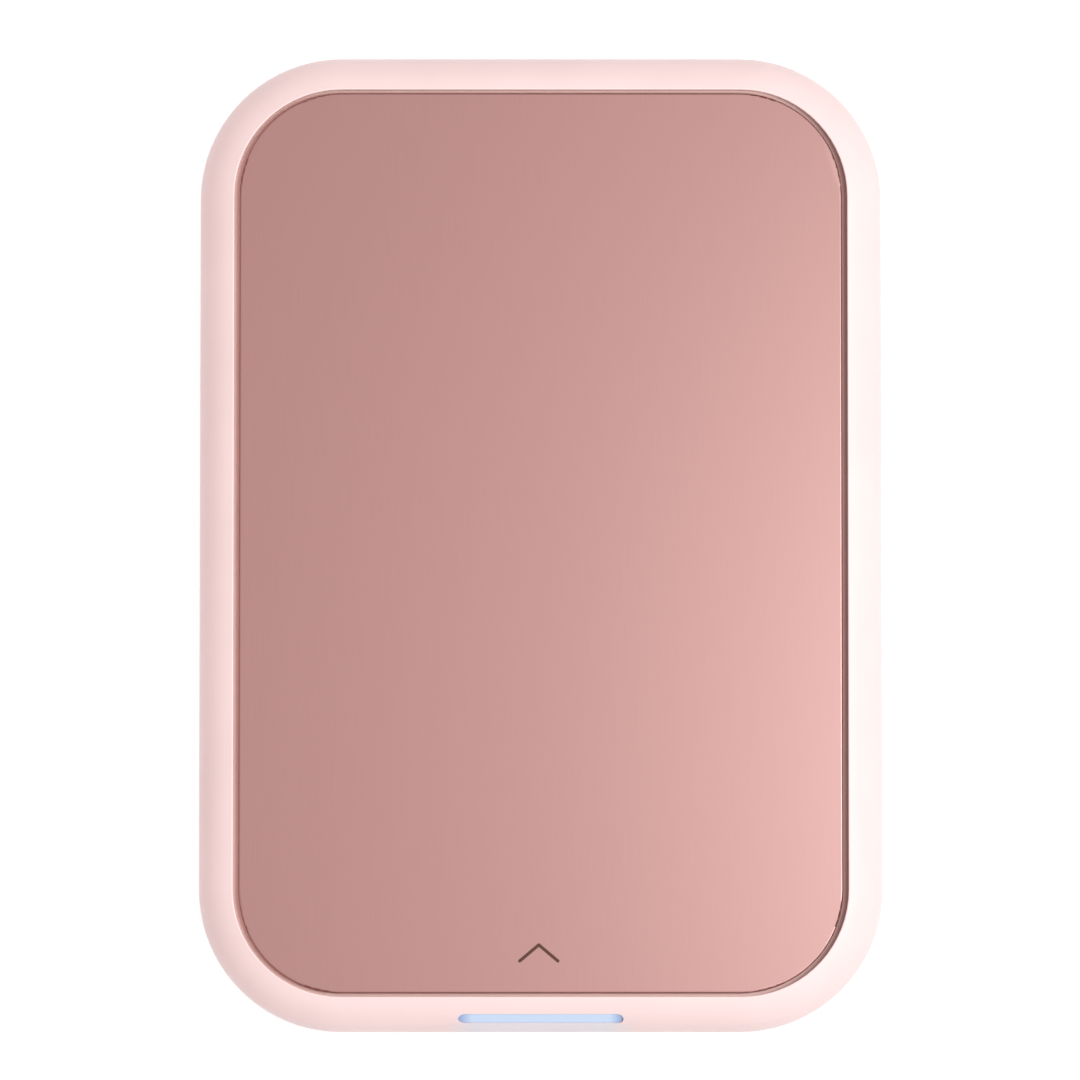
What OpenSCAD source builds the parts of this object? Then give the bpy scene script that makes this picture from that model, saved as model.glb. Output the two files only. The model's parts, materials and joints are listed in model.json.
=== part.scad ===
// Compact photo printer: a flat rounded case whose lid slides back, then swings up on a hidden rear hinge,
// over a paper tray, a thermal print head and a geared roller drive.
// +Y points to the hinge end, -Y to the photo exit, +Z up; the origin is under the centre of the case.

/* [Paper] */
// Width of a sheet of photo paper
paper_w = 50.8; // [42:0.1:61]
// Length of a sheet of photo paper
paper_l = 76.2; // [63:0.1:92]
// Room between the paper and each tray wall
paper_slack = 0.6; // [0.4:0.1:1]
// Clear height above the tray floor, under the raised pressure plate
tray_h = 4.5; // [4.5:0.1:6]

/* [Case] */
// Thickness of the case walls
wall = 1.6; // [1.3:0.1:2]
// Radius of the case corners, seen from above
corner_r = 17.5; // [14:0.5:20]
// Radius of the rounded upper edge
top_round = 6; // [5:0.1:7]
// Radius of the rounded lower edge
bottom_round = 5; // [4:0.1:6]
// Width of the rim around the metal cover plate
rim_w = 4.4; // [3.6:0.1:4.6]
// Rounding of the rim's inner edge
lip_round = 0.15; // [0.1:0.05:0.4]
// Chamfer of the case edges along the parting line
parting_chamfer = 0.15; // [0.05:0.05:0.2]
// Height that the feet stand out below the case
foot_h = 0.6; // [0.4:0.1:1.2]
// Width of the bay on each side of the chassis
bay_w = 13.2; // [12.8:0.1:16]
// Distance from the front wall back to the exit roller's axis
exit_inset = 7.4; // [7:0.1:12]
// Distance that the pickup roller's axis lies behind the tray's front edge
pickup_reach = 7.2; // [6:0.1:14]

/* [Cover plate] */
// Thickness of the metal plate
plate_t = 0.8; // [0.5:0.1:1.2]
// Gap at the left and right of the metal plate
side_gap = 0.65; // [0.4:0.05:1.1]
// Gap at the front and rear of the metal plate
end_gap = 0.4; // [0.3:0.05:0.8]
// Rounding of the metal plate's upper edge
plate_edge = 0.25; // [0.1:0.05:0.45]
// Sideways offset of the chevron
chevron_x = -0.25; // [-2:0.05:2]
// Thickness of the adhesive sheet under the plate
tape_t = 0.15; // [0.1:0.05:0.3]

/* [Status light] */
// Length of the light window
lens_l = 20.1; // [14:0.1:26]
// Height of the light window
lens_h = 1.7; // [1.4:0.1:2.4]
// Angle of the window above the horizontal
lens_angle = 43; // [30:1:48]

/* [Rollers] */
// Diameter of the platen roller under the print head
platen_d = 8; // [7:0.1:9.6]
// Diameter of the pickup tyres under the paper stack
pickup_d = 8; // [7:0.1:8.4]
// Diameter of the exit tyres
exit_d = 6; // [5.4:0.1:6.6]
// Diameter of the pinch rollers over the exit tyres
pinch_d = 3.2; // [2.6:0.1:3.8]
// Diameter of the platen shaft
platen_shaft_d = 3; // [2.4:0.1:3.4]
// Diameter of the pickup and exit shafts
roller_shaft_d = 2.5; // [2:0.1:2.8]
// Diameter of the pinch roller shaft
pinch_shaft_d = 1.5; // [1.2:0.1:1.8]

/* [Drive] */
// Diameter of the motor can
motor_d = 7.6; // [6.4:0.1:9]
// Length of the motor can
motor_l = 20; // [16:0.5:23]
// Gear module
gear_m = 0.4; // [0.38:0.01:0.48]
// Face width of each gear
gear_t = 2.6; // [2:0.1:2.8]
// Diameter of the fixed gear axles
axle_d = 1.5; // [1.2:0.1:1.8]

/* [Lid] */
// Radius of the hinge knuckles
knuckle_r = 1.4; // [1.2:0.05:1.5]
// Diameter of the hinge pins
hinge_pin_d = 1.2; // [1:0.1:1.4]
// Travel of the lid before it swings
slide_travel = 4; // [3:0.5:4]
// Thickness of the hinge frame under the lid
frame_t = 1; // [0.8:0.1:1.4]
// Thickness of the pressure plate
press_t = 1; // [0.8:0.1:1.4]
// Length of the compressed pressure springs
press_spring_h = 1.8; // [1.6:0.1:3]

/* [Power] */
// Width of the battery
battery_w = 46; // [30:1:48]
// Length of the battery
battery_l = 36; // [24:1:38]
// Thickness of the battery
battery_t = 5.4; // [4:0.1:6]
// Width of the power button
button_w = 10; // [7:0.5:13]
// Height of the power button
button_h = 3; // [2.4:0.1:3.4]

/* [Hidden] */
$fn = 64;

// Clearances
run_gap = 0.05;         // radial running clearance of a shaft
press_gap = 0.02;       // radial clearance of a pressed pin
slip_gap = 0.2;         // clearance between sliding faces
part_gap = 0.1;         // gap at the parting line

// Gear teeth
platen_n = 20;
exit_n = 15;
exit_idler_n = 14;
pickup_n = 22;
big_n = 24;
small_n = 10;
pressure_angle = 25;
addendum = 0.9 * gear_m;
dedendum = 1.15 * gear_m;
backlash = 0.07;

// Chassis and case outline
chassis_wall = 1.2;
rear_wall = 0.8;
rear_gap = 1.4;
roller_pitch = 30 * gear_m;
pickup_pitch = 32.5 * gear_m;
engine_l = exit_inset + 2 * roller_pitch + pickup_pitch - pickup_reach;
chassis_in = paper_w / 2 + paper_slack;
chassis_out = chassis_in + chassis_wall;
body_w = 2 * (chassis_out + bay_w + wall);
body_l = 2 * wall + rear_gap + rear_wall + paper_l + 2 * paper_slack + engine_l;
x_in = body_w / 2 - wall;
y_front = -body_l / 2 + wall;
y_rear = body_l / 2 - wall;
tray_y1 = y_rear - rear_gap - rear_wall;
tray_y0 = tray_y1 - paper_l - 2 * paper_slack;
chassis_y1 = tray_y1 + rear_wall;

// Heights, from the floor up
floor_z = foot_h + wall;
deck_t = 0.9;
motor_under = 0.2;
motor_over = 0.1;
platen_under = 0.8;
gear_under = 0.15;
pickup_proud = 0.35;
paper_z = floor_z + max(platen_under + platen_d, motor_under + motor_d + motor_over + deck_t,
    battery_t + deck_t + 1.6, gear_under + outer_r(pickup_n) + pickup_d / 2 - pickup_proud);
deck_z = paper_z - deck_t;
parting_z = paper_z + 3;
press_z = paper_z + tray_h;
frame_z = press_z + press_t + press_spring_h;
ceiling_z = frame_z + frame_t + slip_gap;
ceiling_t = 1.15;
recess_z = ceiling_z + ceiling_t;
plate_sink = 0.4;
lip_z = recess_z + tape_t + plate_t + plate_sink;
lip_in = top_round - rim_w + lip_round;
lip_up = sqrt(pow(top_round - lip_round, 2) - pow(lip_in, 2));
crown_z = lip_z - lip_round - lip_up + top_round;
arc_r = top_round - wall;
arc_z = ceiling_z - arc_r;
arc_y = y_rear - arc_r;
low_arc_z = floor_z + bottom_round - wall;

// Cover plate outline
recess_w = body_w - 2 * rim_w;
recess_l = body_l - 2 * rim_w;
recess_r = corner_r - rim_w;

// Roller axes
exit_y = y_front + exit_inset;
platen_y = exit_y + roller_pitch;
motor_y = platen_y + roller_pitch;
pickup_y = motor_y + pickup_pitch;
nip_gap = 0.25;
head_gap = 0.1;
platen_z = paper_z - platen_d / 2;
exit_z = paper_z - exit_d / 2;
pickup_z = paper_z + pickup_proud - pickup_d / 2;
pinch_z = paper_z + nip_gap + pinch_d / 2;
motor_z = deck_z - motor_over - motor_d / 2;
journal_step = 0.3;
bush_wall = 0.8;
bush_flange = 0.3;
shaft_end = chassis_out + 0.7;
tyre_x = [5, 15];
pickup_x = [8, 16];

// Gear train: layers and centres
layer_gap = 0.4;
layer_a = chassis_out + layer_gap + gear_t;
layer_b = layer_a + layer_gap + gear_t;
gear_plate_x = layer_b + 0.6;
gear_plate_t = 0.8;
platen_at = [platen_y, platen_z];
exit_at = [exit_y, exit_z];
motor_at = [motor_y, motor_z];
pickup_at = [pickup_y, pickup_z];
exit_idler_at = third_point(exit_at, platen_at, mesh(exit_n, exit_idler_n), mesh(platen_n, exit_idler_n));
front_gear_at = third_point(platen_at, motor_at, mesh(platen_n, small_n), mesh(small_n, big_n));
rear_gear_at = third_point(motor_at, pickup_at, mesh(small_n, big_n), mesh(small_n, pickup_n));
platen_phase = 0;
exit_idler_phase = meshed_phase(platen_phase, platen_n, platen_at, exit_idler_n, exit_idler_at);
exit_phase = meshed_phase(exit_idler_phase, exit_idler_n, exit_idler_at, exit_n, exit_at);
front_small_phase = meshed_phase(platen_phase, platen_n, platen_at, small_n, front_gear_at);
front_big_phase = 0;
motor_phase = meshed_phase(front_big_phase, big_n, front_gear_at, small_n, motor_at);
rear_big_phase = meshed_phase(motor_phase, small_n, motor_at, big_n, rear_gear_at);
rear_small_phase = 0;
pickup_phase = meshed_phase(rear_small_phase, small_n, rear_gear_at, pickup_n, pickup_at);

// Small pan head screws
screw_head_r = 1.4;
screw_head_h = 0.8;
screw_r = 0.8;
frame_screw_l = 4;
board_screw_l = 3;

// Motor front
motor_screw_r = 2.5;
motor_shaft_r = 0.5;
motor_boss_r = 1.2;

// Print head
head_pin_r = 1;
head_pin_at = [platen_y + 8, paper_z + 2.7];
head_half = chassis_in - 0.6;
head_z = paper_z + 1;
head_t = 1.6;
head_front = platen_y - 7.5;
pivot_half = 2;
pivot_top = head_pin_at[1] + 1.5;
bridge_z = paper_z + 6;
bridge_t = 0.8;
bridge_y = [platen_y - 6, platen_y + 2];
bridge_screw = [chassis_out + 2, platen_y - 0.5];
head_spring_at = [15, platen_y - 2];
head_spring_r = 2.1;

// Posts that carry the gear plate, as [y, z]
post_r = 1.7;
post_gap = 0.33;
plate_posts = [
    exit_idler_at + leaned([1.4, 5], outer_r(exit_idler_n) + post_r + post_gap,
        bridge_z - post_r - 0.1 - exit_idler_at[1]),
    motor_at + [0, 15.25 * gear_m],
    pickup_at + (outer_r(pickup_n) + post_r + post_gap) * unit([1, 1]),
];

// Chassis bars and gate
bar_z = paper_z + 1.3;
bar_t = 0.7;
bar_top = bar_z + bar_t;
bar_y1 = y_front + 5.2;
gate_y = tray_y0 - 1.2;
gate_t = 0.8;
slot_h = 2.2;

// Lid hinge and its frame
knuckle_y = body_l / 2 - knuckle_r - run_gap;
relief_h = knuckle_r + 0.5;
relief_half = body_w / 2 - corner_r + 7.5;
knuckle_x = [12, 15.8, 16.05, 20.05, 20.3, 24.1];
frame_x = chassis_out + 5.8;
frame_y = [tray_y0 + 1.2, tray_y1 - 6.2];
rail_y = [tray_y0 + 9, tray_y1 - 29];
rail_l = 8;
ear_y = [tray_y0 + 25, tray_y1 - 12];
ear_l = 5;
rivet_x = chassis_out + 3.3;
rivet_r = 1;
press_half = paper_w / 2 - 1;
press_drop = tray_h - 0.5;
magnet_at = [22, y_front + 3];
magnet_r = 2;
magnet_top = parting_z - 0.05;

// Battery and circuit board
battery_y = pickup_y + pickup_d / 2 + 3;
board_z = floor_z + 1.4;
board_t = 1;
board_top = board_z + board_t;
board_half = chassis_in - 0.6;
board_y = [battery_y + battery_l + 5.2, y_rear - 1.2];
board_post = [22.5, board_y[0] + 2.8, board_y[1] - 4.2];
usb_x = -10;
usb_w = 7.6;
usb_h = 2.8;
button_x = 12;
button_z = board_top + 2.8;
button_travel = 0.6;

// Screws that hold the chassis in the base
base_screw_x = 18;
base_screw_y = [(exit_y + exit_d / 2 + platen_y - platen_d / 2) / 2, battery_y + battery_l + 2.6];
base_screw_r = 1;
boss_r = 1.9;

// Feet, chevron and paper sensor
foot_at = [body_w / 2 - 16, body_l / 2 - 16];
foot_r = 4;
chevron_y = -recess_l / 2 + 6.3;
chevron_arm = 3.04;
chevron_r = 0.2;
chevron_depth = 0.12;
sensor_at = [14, tray_y0 + 0.2];

// Head ribbon and signal wires, in the right-hand bay
ribbon_x = chassis_out + 1.2;
ribbon_t = 0.2;
ribbon_y = [head_pin_at[0] - 2.6, head_pin_at[0] + 2.6];
ribbon_z = pivot_top + 0.25;
wire_r = 0.35;

// ---------- functions ----------

// Radius of a gear's tooth tips
function outer_r(n) = gear_m * n / 2 + addendum;

// Distance between the axes of two meshed gears
function mesh(n1, n2) = gear_m * (n1 + n2) / 2;

// The point above the line from p to q that lies at distance dp from p and dq from q
function third_point(p, q, dp, dq) =
    let(d = norm(q - p), u = (q - p) / d, n = [-u[1], u[0]],
        a = (dp * dp - dq * dq + d * d) / (2 * d), h = sqrt(dp * dp - a * a))
    p + a * u + (n[1] > 0 ? h : -h) * n;

// Angle of one tooth of a gear at b that puts it in mesh with the gear at a
function meshed_phase(phase_a, n_a, a, n_b, b) =
    let(delta = atan2(b[1] - a[1], b[0] - a[0]), teeth = (delta - phase_a) * n_a / 360)
    delta + 180 - (0.5 - teeth) * 360 / n_b;

// Angle, in degrees, that an involute has turned where its roll is t radians
function involute(t) = (t * 180 / PI) - atan(t);

// One flank of a tooth, from root to tip, as [radius, angle from the tooth's centre line]
function flank(n) =
    let(r = gear_m * n / 2, rb = r * cos(pressure_angle), ra = r + addendum, rr = r - dedendum,
        half = 90 / n - (backlash / 2 / r) * 180 / PI / 2 + involute(tan(pressure_angle)),
        t_tip = sqrt(pow(ra / rb, 2) - 1), steps = 4)
    concat(
        rr < rb ? [[rr, half]] : [],
        [for (i = [0:steps]) let(t = t_tip * i / steps) [rb * sqrt(1 + t * t), half - involute(t)]]
    );

// Outline of a gear with its first tooth at the angle phase
function gear_outline(n, phase) =
    let(f = flank(n), m = len(f))
    [for (k = [0:n - 1], i = [0:2 * m - 1])
        let(p = i < m ? f[i] : f[2 * m - 1 - i], side = i < m ? -1 : 1,
            a = phase + k * 360 / n + side * p[1])
        p[0] * [cos(a), sin(a)]];

// Ring i of a tube that winds up a helix whose radius runs from r0 to r1
function helix_ring(i, per_turn, turns, r0, r1, h, wire_r, sides) =
    let(s = i / (per_turn * turns), a = 360 * i / per_turn, r = r0 + (r1 - r0) * s)
    [for (j = [0:sides - 1]) let(b = 360 * j / sides)
        [(r + wire_r * cos(b)) * cos(a), (r + wire_r * cos(b)) * sin(a), s * h + wire_r * sin(b)]];

// Vector of length one along v
function unit(v) = v / norm(v);

// Step of length l along v, leaned over where it would rise by more than top
function leaned(v, l, top) =
    let(up = min(l * unit(v)[1], top))
    [sqrt(l * l - up * up), up];

// Side direction of each ring of a wire, carried on from u without twist
function carried(along, i, u) =
    let(w = unit(u - (u * along[i]) * along[i]))
    i == len(along) - 1 ? [w] : concat([w], carried(along, i + 1, w));

// ---------- shapes used by several pieces ----------

// Flat rectangle with round corners, centred
module rounded_rect(w, l, r) {
    if (w > 2 * r) square([w - 2 * r, l], center = true);
    if (l > 2 * r) square([w, l - 2 * r], center = true);
    for (x = [-1, 1], y = [-1, 1])
        translate([x * (w / 2 - r), y * (l / 2 - r)]) circle(r);
}

// What a round of radius r takes off the corner of a profile, with the corner at the origin
module corner_waste(r) {
    difference() {
        translate([-r, -r]) square([r + 1, r + 1]);
        translate([-r, -r]) circle(r);
        translate([-2 * r, -2 * r]) square([r, 3 * r + 1]);
        translate([-2 * r, -2 * r]) square([3 * r + 1, r]);
    }
}

// What a chamfer with legs c takes off a square corner at the origin
module chamfer_waste(c) {
    rotate(45) square(sqrt(2) * c, center = true);
}

// Half a section through a block, with its upper and lower corners rounded
module half_section(half, h, low_r, high_r) {
    difference() {
        square([half, h]);
        if (high_r > 0) translate([half, h]) corner_waste(high_r);
        if (low_r > 0) translate([half, 0]) mirror([0, 1]) corner_waste(low_r);
    }
}

// Solid with round corners seen from above, whose children draw its section from 0 out to $half
module round_cornered(w, l, r) {
    for (i = [0:3])
        translate([(i == 0 || i == 3 ? 1 : -1) * (w / 2 - r), (i < 2 ? 1 : -1) * (l / 2 - r), 0])
            rotate([0, 0, 90 * i]) rotate_extrude(angle = 90) let($half = r) children();
    for (a = [0, 1])
        rotate([0, 0, 90 * a]) rotate([90, 0, 0])
            linear_extrude((a == 0 ? l : w) - 2 * r, center = true) for (s = [0, 1])
                mirror([s, 0]) let($half = (a == 0 ? w : l) / 2) children();
}

// Block with round corners seen from above, and rounded upper and lower edges
module rounded_block(w, l, r, z0, z1, low_r = 0, high_r = 0) {
    translate([0, 0, z0]) round_cornered(w, l, r) half_section($half, z1 - z0, low_r, high_r);
}

// Box from one corner to the opposite one
module box(low, high) {
    translate(low) cube(high - low);
}

// Children drawn about the Z axis stand about an axle along X at [y, z], from x on
module on_axle(x, at) {
    translate([x, at[0], at[1]]) rotate([90, 0, 90]) children();
}

// Round bar along X
module rod(x0, x1, at, r) {
    on_axle(x0, at) cylinder(h = x1 - x0, r = r);
}

// Tube along X
module sleeve(x0, x1, at, r, bore) {
    difference() {
        rod(x0, x1, at, r);
        rod(x0 - 1, x1 + 1, at, bore);
    }
}

// Spur gear whose outer face is at -x_out
module spur_gear(n, phase, at, x_out, width) {
    on_axle(-x_out, at) linear_extrude(width) polygon(gear_outline(n, phase));
}

// A flanged bush in each chassis wall
module bush_pair(at, shaft_r) {
    for (s = [0, 1]) mirror([s, 0, 0]) difference() {
        union() {
            rod(chassis_in, chassis_out, at, shaft_r + bush_wall);
            rod(chassis_in - bush_flange, chassis_in, at, shaft_r + bush_wall + 0.6);
        }
        rod(chassis_in - 1, chassis_out + 1, at, shaft_r + run_gap);
    }
}

// Solid between rings of points that all have the same number of sides
module tube(rings) {
    n = len(rings) - 1;
    sides = len(rings[0]);
    polyhedron(
        points = [for (ring = rings) each ring],
        faces = concat(
            [[for (j = [0:sides - 1]) j]],
            [for (i = [0:n - 1], j = [0:sides - 1])
                [i * sides + j, (i + 1) * sides + j, (i + 1) * sides + (j + 1) % sides]],
            [for (i = [0:n - 1], j = [0:sides - 1])
                [i * sides + j, (i + 1) * sides + (j + 1) % sides, i * sides + (j + 1) % sides]],
            [[for (j = [0:sides - 1]) n * sides + sides - 1 - j]]
        )
    );
}

// Coil spring that stands on the origin; its radius may change from r0 to r1
module coil_spring(r0, r1, h, wire_r, turns) {
    per_turn = 14;
    translate([0, 0, wire_r]) tube([for (i = [0:per_turn * turns])
        helix_ring(i, per_turn, turns, r0, r1, h - 2 * wire_r, wire_r, 6)]);
}

// Wire through a list of points
module wire(points, r) {
    n = len(points) - 1;
    along = [for (i = [0:n])
        let(a = unit(points[max(i, 1)] - points[max(i, 1) - 1]),
            b = unit(points[min(i, n - 1) + 1] - points[min(i, n - 1)]))
        unit(a + b)];
    side = carried(along, 0, unit(cross(along[0], [1, 1, 1])));
    tube([for (i = [0:n])
        let(v = cross(side[i], along[i]))
        [for (j = [0:5]) points[i] + r * (cos(60 * j) * side[i] + sin(60 * j) * v)]]);
}

// Pan head screw along +Z from its head at the origin
module pan_screw(head_r, head_h, shank_r, l) {
    cylinder(h = head_h, r = head_r);
    cylinder(h = l, r = shank_r);
}

// ---------- case ----------

// Lower half of the case, with the exit slot, bosses, ribs and its half of the hinge
module base_shell() {
    color([0.93, 0.87, 0.85]) difference() {
        union() {
            difference() {
                translate([0, 0, foot_h]) round_cornered(body_w, body_l, corner_r)
                    base_section($half, parting_z - foot_h);
                rounded_block(2 * x_in, 2 * y_rear, corner_r - wall, floor_z, parting_z + 1,
                    low_r = bottom_round - wall);
            }
            hinge_barrel();
            for (s = [0, 1]) mirror([s, 0, 0]) {
                for (y = [board_post[1], board_post[2]])
                    translate([board_post[0], y, floor_z - 0.5]) cylinder(h = 1.9, r = 1.8);
                box([battery_w / 2 + 0.1, battery_y + 12, floor_z - 0.5],
                    [battery_w / 2 + 0.9, battery_y + 22, floor_z + 2.5]);
                box([8, battery_y - 1.1, floor_z - 0.5], [14, battery_y - 0.1, floor_z + 2.5]);
            }
            box([-6, battery_y + battery_l + 0.1, floor_z - 0.5],
                [6, battery_y + battery_l + 1.1, floor_z + 2.5]);
        }
        box([-paper_w / 2 - 1.5, -body_l, paper_z - 1],
            [paper_w / 2 + 1.5, y_front + 1, paper_z - 1 + slot_h]);
        for (s = [0, 1]) mirror([s, 0, 0]) {
            rod(knuckle_x[0] - 0.1, knuckle_x[5] + 0.1, [knuckle_y, parting_z],
                hinge_pin_d / 2 + press_gap);
            box([knuckle_x[1], y_rear - 2, parting_z - relief_h],
                [knuckle_x[4], body_l, parting_z + relief_h]);
            for (y = [board_post[1], board_post[2]])
                translate([board_post[0], y, floor_z]) cylinder(h = 5, r = screw_r + press_gap);
            for (y = base_screw_y) translate([base_screw_x, y, 0]) {
                cylinder(h = foot_h + 1, r = 2.1);
                cylinder(h = floor_z + 1, r = base_screw_r + 0.2);
            }
            for (t = [-1, 1]) translate([foot_at[0], t * foot_at[1], 0])
                cylinder(h = foot_h + 0.3, r = foot_r + 0.1);
        }
        translate([usb_x, y_rear - 1, board_top + usb_h / 2]) rotate([-90, 0, 0])
            linear_extrude(5) rounded_rect(usb_w + 0.8, usb_h + 0.8, 0.8);
        translate([button_x, y_rear - 1, button_z]) rotate([-90, 0, 0])
            linear_extrude(5) rounded_rect(button_w + 0.3, button_h + 0.3, button_h / 2);
    }
}

// Half a section through the base before it is hollowed
module base_section(half, h) {
    difference() {
        half_section(half, h, bottom_round, 0);
        translate([half, h]) chamfer_waste(parting_chamfer);
    }
}

// Long fixed barrel of the lid hinge, kept inside the outline of the case
module hinge_barrel() {
    intersection() {
        union() {
            rod(-knuckle_x[1], knuckle_x[1], [knuckle_y, parting_z], knuckle_r);
            for (s = [0, 1]) mirror([s, 0, 0])
                rod(knuckle_x[4], relief_half, [knuckle_y, parting_z], knuckle_r);
        }
        rounded_block(body_w - 0.1, body_l - 0.1, corner_r, parting_z - 3, parting_z + 3);
    }
}

// Four round feet let into the underside
module rubber_feet() {
    color([0.25, 0.24, 0.24]) for (s = [-1, 1], t = [-1, 1])
        translate([s * foot_at[0], t * foot_at[1], 0]) cylinder(h = foot_h + 0.3, r = foot_r);
}

// Four screws from below that hold the chassis
module base_screws() {
    color([0.6, 0.6, 0.62]) for (s = [-1, 1], y = base_screw_y)
        translate([s * base_screw_x, y, foot_h + 0.1]) pan_screw(1.9, 0.9, base_screw_r, 7);
}

// Moulded frame: tray walls, paper deck, engine walls and every bore and post they carry
module chassis() {
    color([0.16, 0.16, 0.17]) difference() {
        union() {
            box([-chassis_out, y_front + 0.3, deck_z], [chassis_out, chassis_y1, paper_z]);
            box([-chassis_out, tray_y1, deck_z], [chassis_out, chassis_y1, parting_z]);
            box([-chassis_out, y_front + 0.8, bar_z], [chassis_out, bar_y1, bar_top]);
            for (s = [0, 1]) mirror([s, 0, 0]) {
                box([chassis_in, y_front + 0.8, low_arc_z + 0.2], [chassis_out, chassis_y1, parting_z]);
                box([chassis_in, y_front + 6.4, floor_z], [chassis_out, y_rear - 6.4, low_arc_z + 0.5]);
                box([chassis_in, y_front + slide_travel + 0.9, parting_z - 0.5],
                    [chassis_out, tray_y0, bridge_z]);
                for (y = base_screw_y) translate([base_screw_x, y, floor_z])
                    cylinder(h = deck_z - floor_z + 0.1, r = boss_r);
                translate([bridge_screw[0], bridge_screw[1], bridge_z - 2.5]) cylinder(h = 2.5, r = 1.6);
                box([chassis_in, bridge_screw[1] - 1.6, bridge_z - 2.5],
                    [bridge_screw[0], bridge_screw[1] + 1.6, bridge_z]);
            }
            for (at = plate_posts) rod(-gear_plate_x, -chassis_out + 0.1, at, post_r);
        }
        roller_slot(-paper_w / 2 - 0.3, paper_w / 2 + 0.3, platen_at, platen_d / 2);
        for (s = [0, 1]) mirror([s, 0, 0]) {
            roller_slot(tyre_x[0] - 0.4, tyre_x[1] + 0.4, exit_at, exit_d / 2);
            roller_slot(pickup_x[0] - 0.4, pickup_x[1] + 0.4, pickup_at, pickup_d / 2);
            bush_bore(platen_at, platen_shaft_d / 2);
            bush_bore(exit_at, roller_shaft_d / 2);
            bush_bore(pickup_at, roller_shaft_d / 2);
            wall_bore([exit_y, pinch_z], pinch_shaft_d / 2 - 0.2 + run_gap);
            wall_bore(head_pin_at, head_pin_r + press_gap);
            for (y = base_screw_y) translate([base_screw_x, y, floor_z - 1])
                cylinder(h = 7, r = base_screw_r + press_gap);
            translate([bridge_screw[0], bridge_screw[1], bridge_z - 3])
                cylinder(h = 4, r = screw_r + press_gap);
            for (y = ear_y) box([chassis_in - 1, y - ear_l / 2 - 0.5, paper_z + 0.2],
                [chassis_out + 1, y + ear_l / 2 + 0.5, body_l]);
            box([chassis_in - 1, gate_y - 0.05, paper_z + 2],
                [chassis_out + 1, gate_y + gate_t + 0.05, paper_z + 4.5]);
            box([chassis_in - 1, y_front - 1, bar_top], [chassis_out + 1, y_front + 3.2, bridge_z]);
        }
        for (at = [exit_idler_at, front_gear_at, rear_gear_at])
            rod(-chassis_out - 1, -chassis_in + 1, at, axle_d / 2 + press_gap);
        for (at = plate_posts) rod(-gear_plate_x - 1, -chassis_out - 0.5, at, screw_r + press_gap);
        rod(-chassis_out - 1, -chassis_in + 1, motor_at, motor_boss_r + 0.1);
        for (t = [-1, 1]) rod(-chassis_out - 1, -chassis_in + 1, motor_at + [0, t * motor_screw_r],
            screw_r + 0.1);
        box([chassis_in - 1, ribbon_y[0] - 0.4, pivot_top - 0.1],
            [chassis_out + 1, ribbon_y[1] + 0.4, pivot_top + 0.9]);
        box([chassis_in - 1, board_y[0] + 6, board_top - 0.2],
            [chassis_out + 1, board_y[0] + 17, board_top + 2.6]);
        translate([sensor_at[0], sensor_at[1], deck_z - 1]) cylinder(h = 3, r = 0.9);
    }
}

// Slot in the deck that a roller reaches up through
module roller_slot(x0, x1, at, r) {
    half = sqrt(r * r - pow(max(deck_z - at[1], 0), 2)) + 0.4;
    box([x0, at[0] - half, deck_z - 1], [x1, at[0] + half, paper_z + 0.1]);
}

// Seat of a bush: its bore in the side wall and the room for its flange
module bush_bore(at, shaft_r) {
    wall_bore(at, shaft_r + bush_wall + press_gap);
    rod(chassis_in - bush_flange - 0.1, chassis_in, at, shaft_r + bush_wall + 0.65);
}

// Bore through a chassis side wall
module wall_bore(at, r) {
    rod(chassis_in - 1, chassis_out + 1, at, r);
}

// Plate across the tray front that lets one sheet through at a time
module separator_gate() {
    color([0.72, 0.73, 0.75]) {
        box([-chassis_in + 0.05, gate_y, paper_z + 0.45],
            [chassis_in - 0.05, gate_y + gate_t, paper_z + 4.4]);
        box([-chassis_out, gate_y, paper_z + 2.1], [chassis_out, gate_y + gate_t, paper_z + 4.4]);
    }
}

// Upper half of the case, with the recess for the plate, the guides and the magnet bosses
module cover_shell() {
    color([0.93, 0.87, 0.85]) difference() {
        union() {
            difference() {
                translate([0, 0, parting_z + part_gap]) round_cornered(body_w, body_l, corner_r)
                    cover_section($half, crown_z - parting_z - part_gap);
                rounded_block(2 * x_in, 2 * y_rear, corner_r - wall, parting_z - 1, ceiling_z,
                    high_r = arc_r);
                box([-relief_half, y_rear - 2, parting_z], [relief_half, body_l, parting_z + relief_h]);
            }
            for (s = [0, 1]) mirror([s, 0, 0]) {
                for (y = rail_y) {
                    box([frame_x + slip_gap, y, frame_z - 1], [frame_x + 1.4, y + rail_l, ceiling_z + 0.1]);
                    box([frame_x - 1.4, y, frame_z - 1], [frame_x + 0.3, y + rail_l, frame_z - slip_gap]);
                }
                translate([magnet_at[0], magnet_at[1], 0]) {
                    box([-2.9, -2.9, parting_z + 0.3], [2.9, 2.9, arc_z + 2.5]);
                    box([-2.9, -0.6, parting_z + 0.3], [2.9, 2.9, ceiling_z + 0.1]);
                    box([-2.9, -3.4, parting_z + 0.3], [2.9, -2, arc_z + 1]);
                }
            }
            box([-10, frame_y[0] - slide_travel - 1.4, frame_z + 0.2],
                [10, frame_y[0] - slide_travel - 0.2, ceiling_z + 0.1]);
        }
        for (s = [-1, 1]) translate([s * magnet_at[0], magnet_at[1], parting_z])
            cylinder(h = 1.5, r = magnet_r + press_gap);
        lens_shape(0.05, 2, 8);
    }
}

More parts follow.
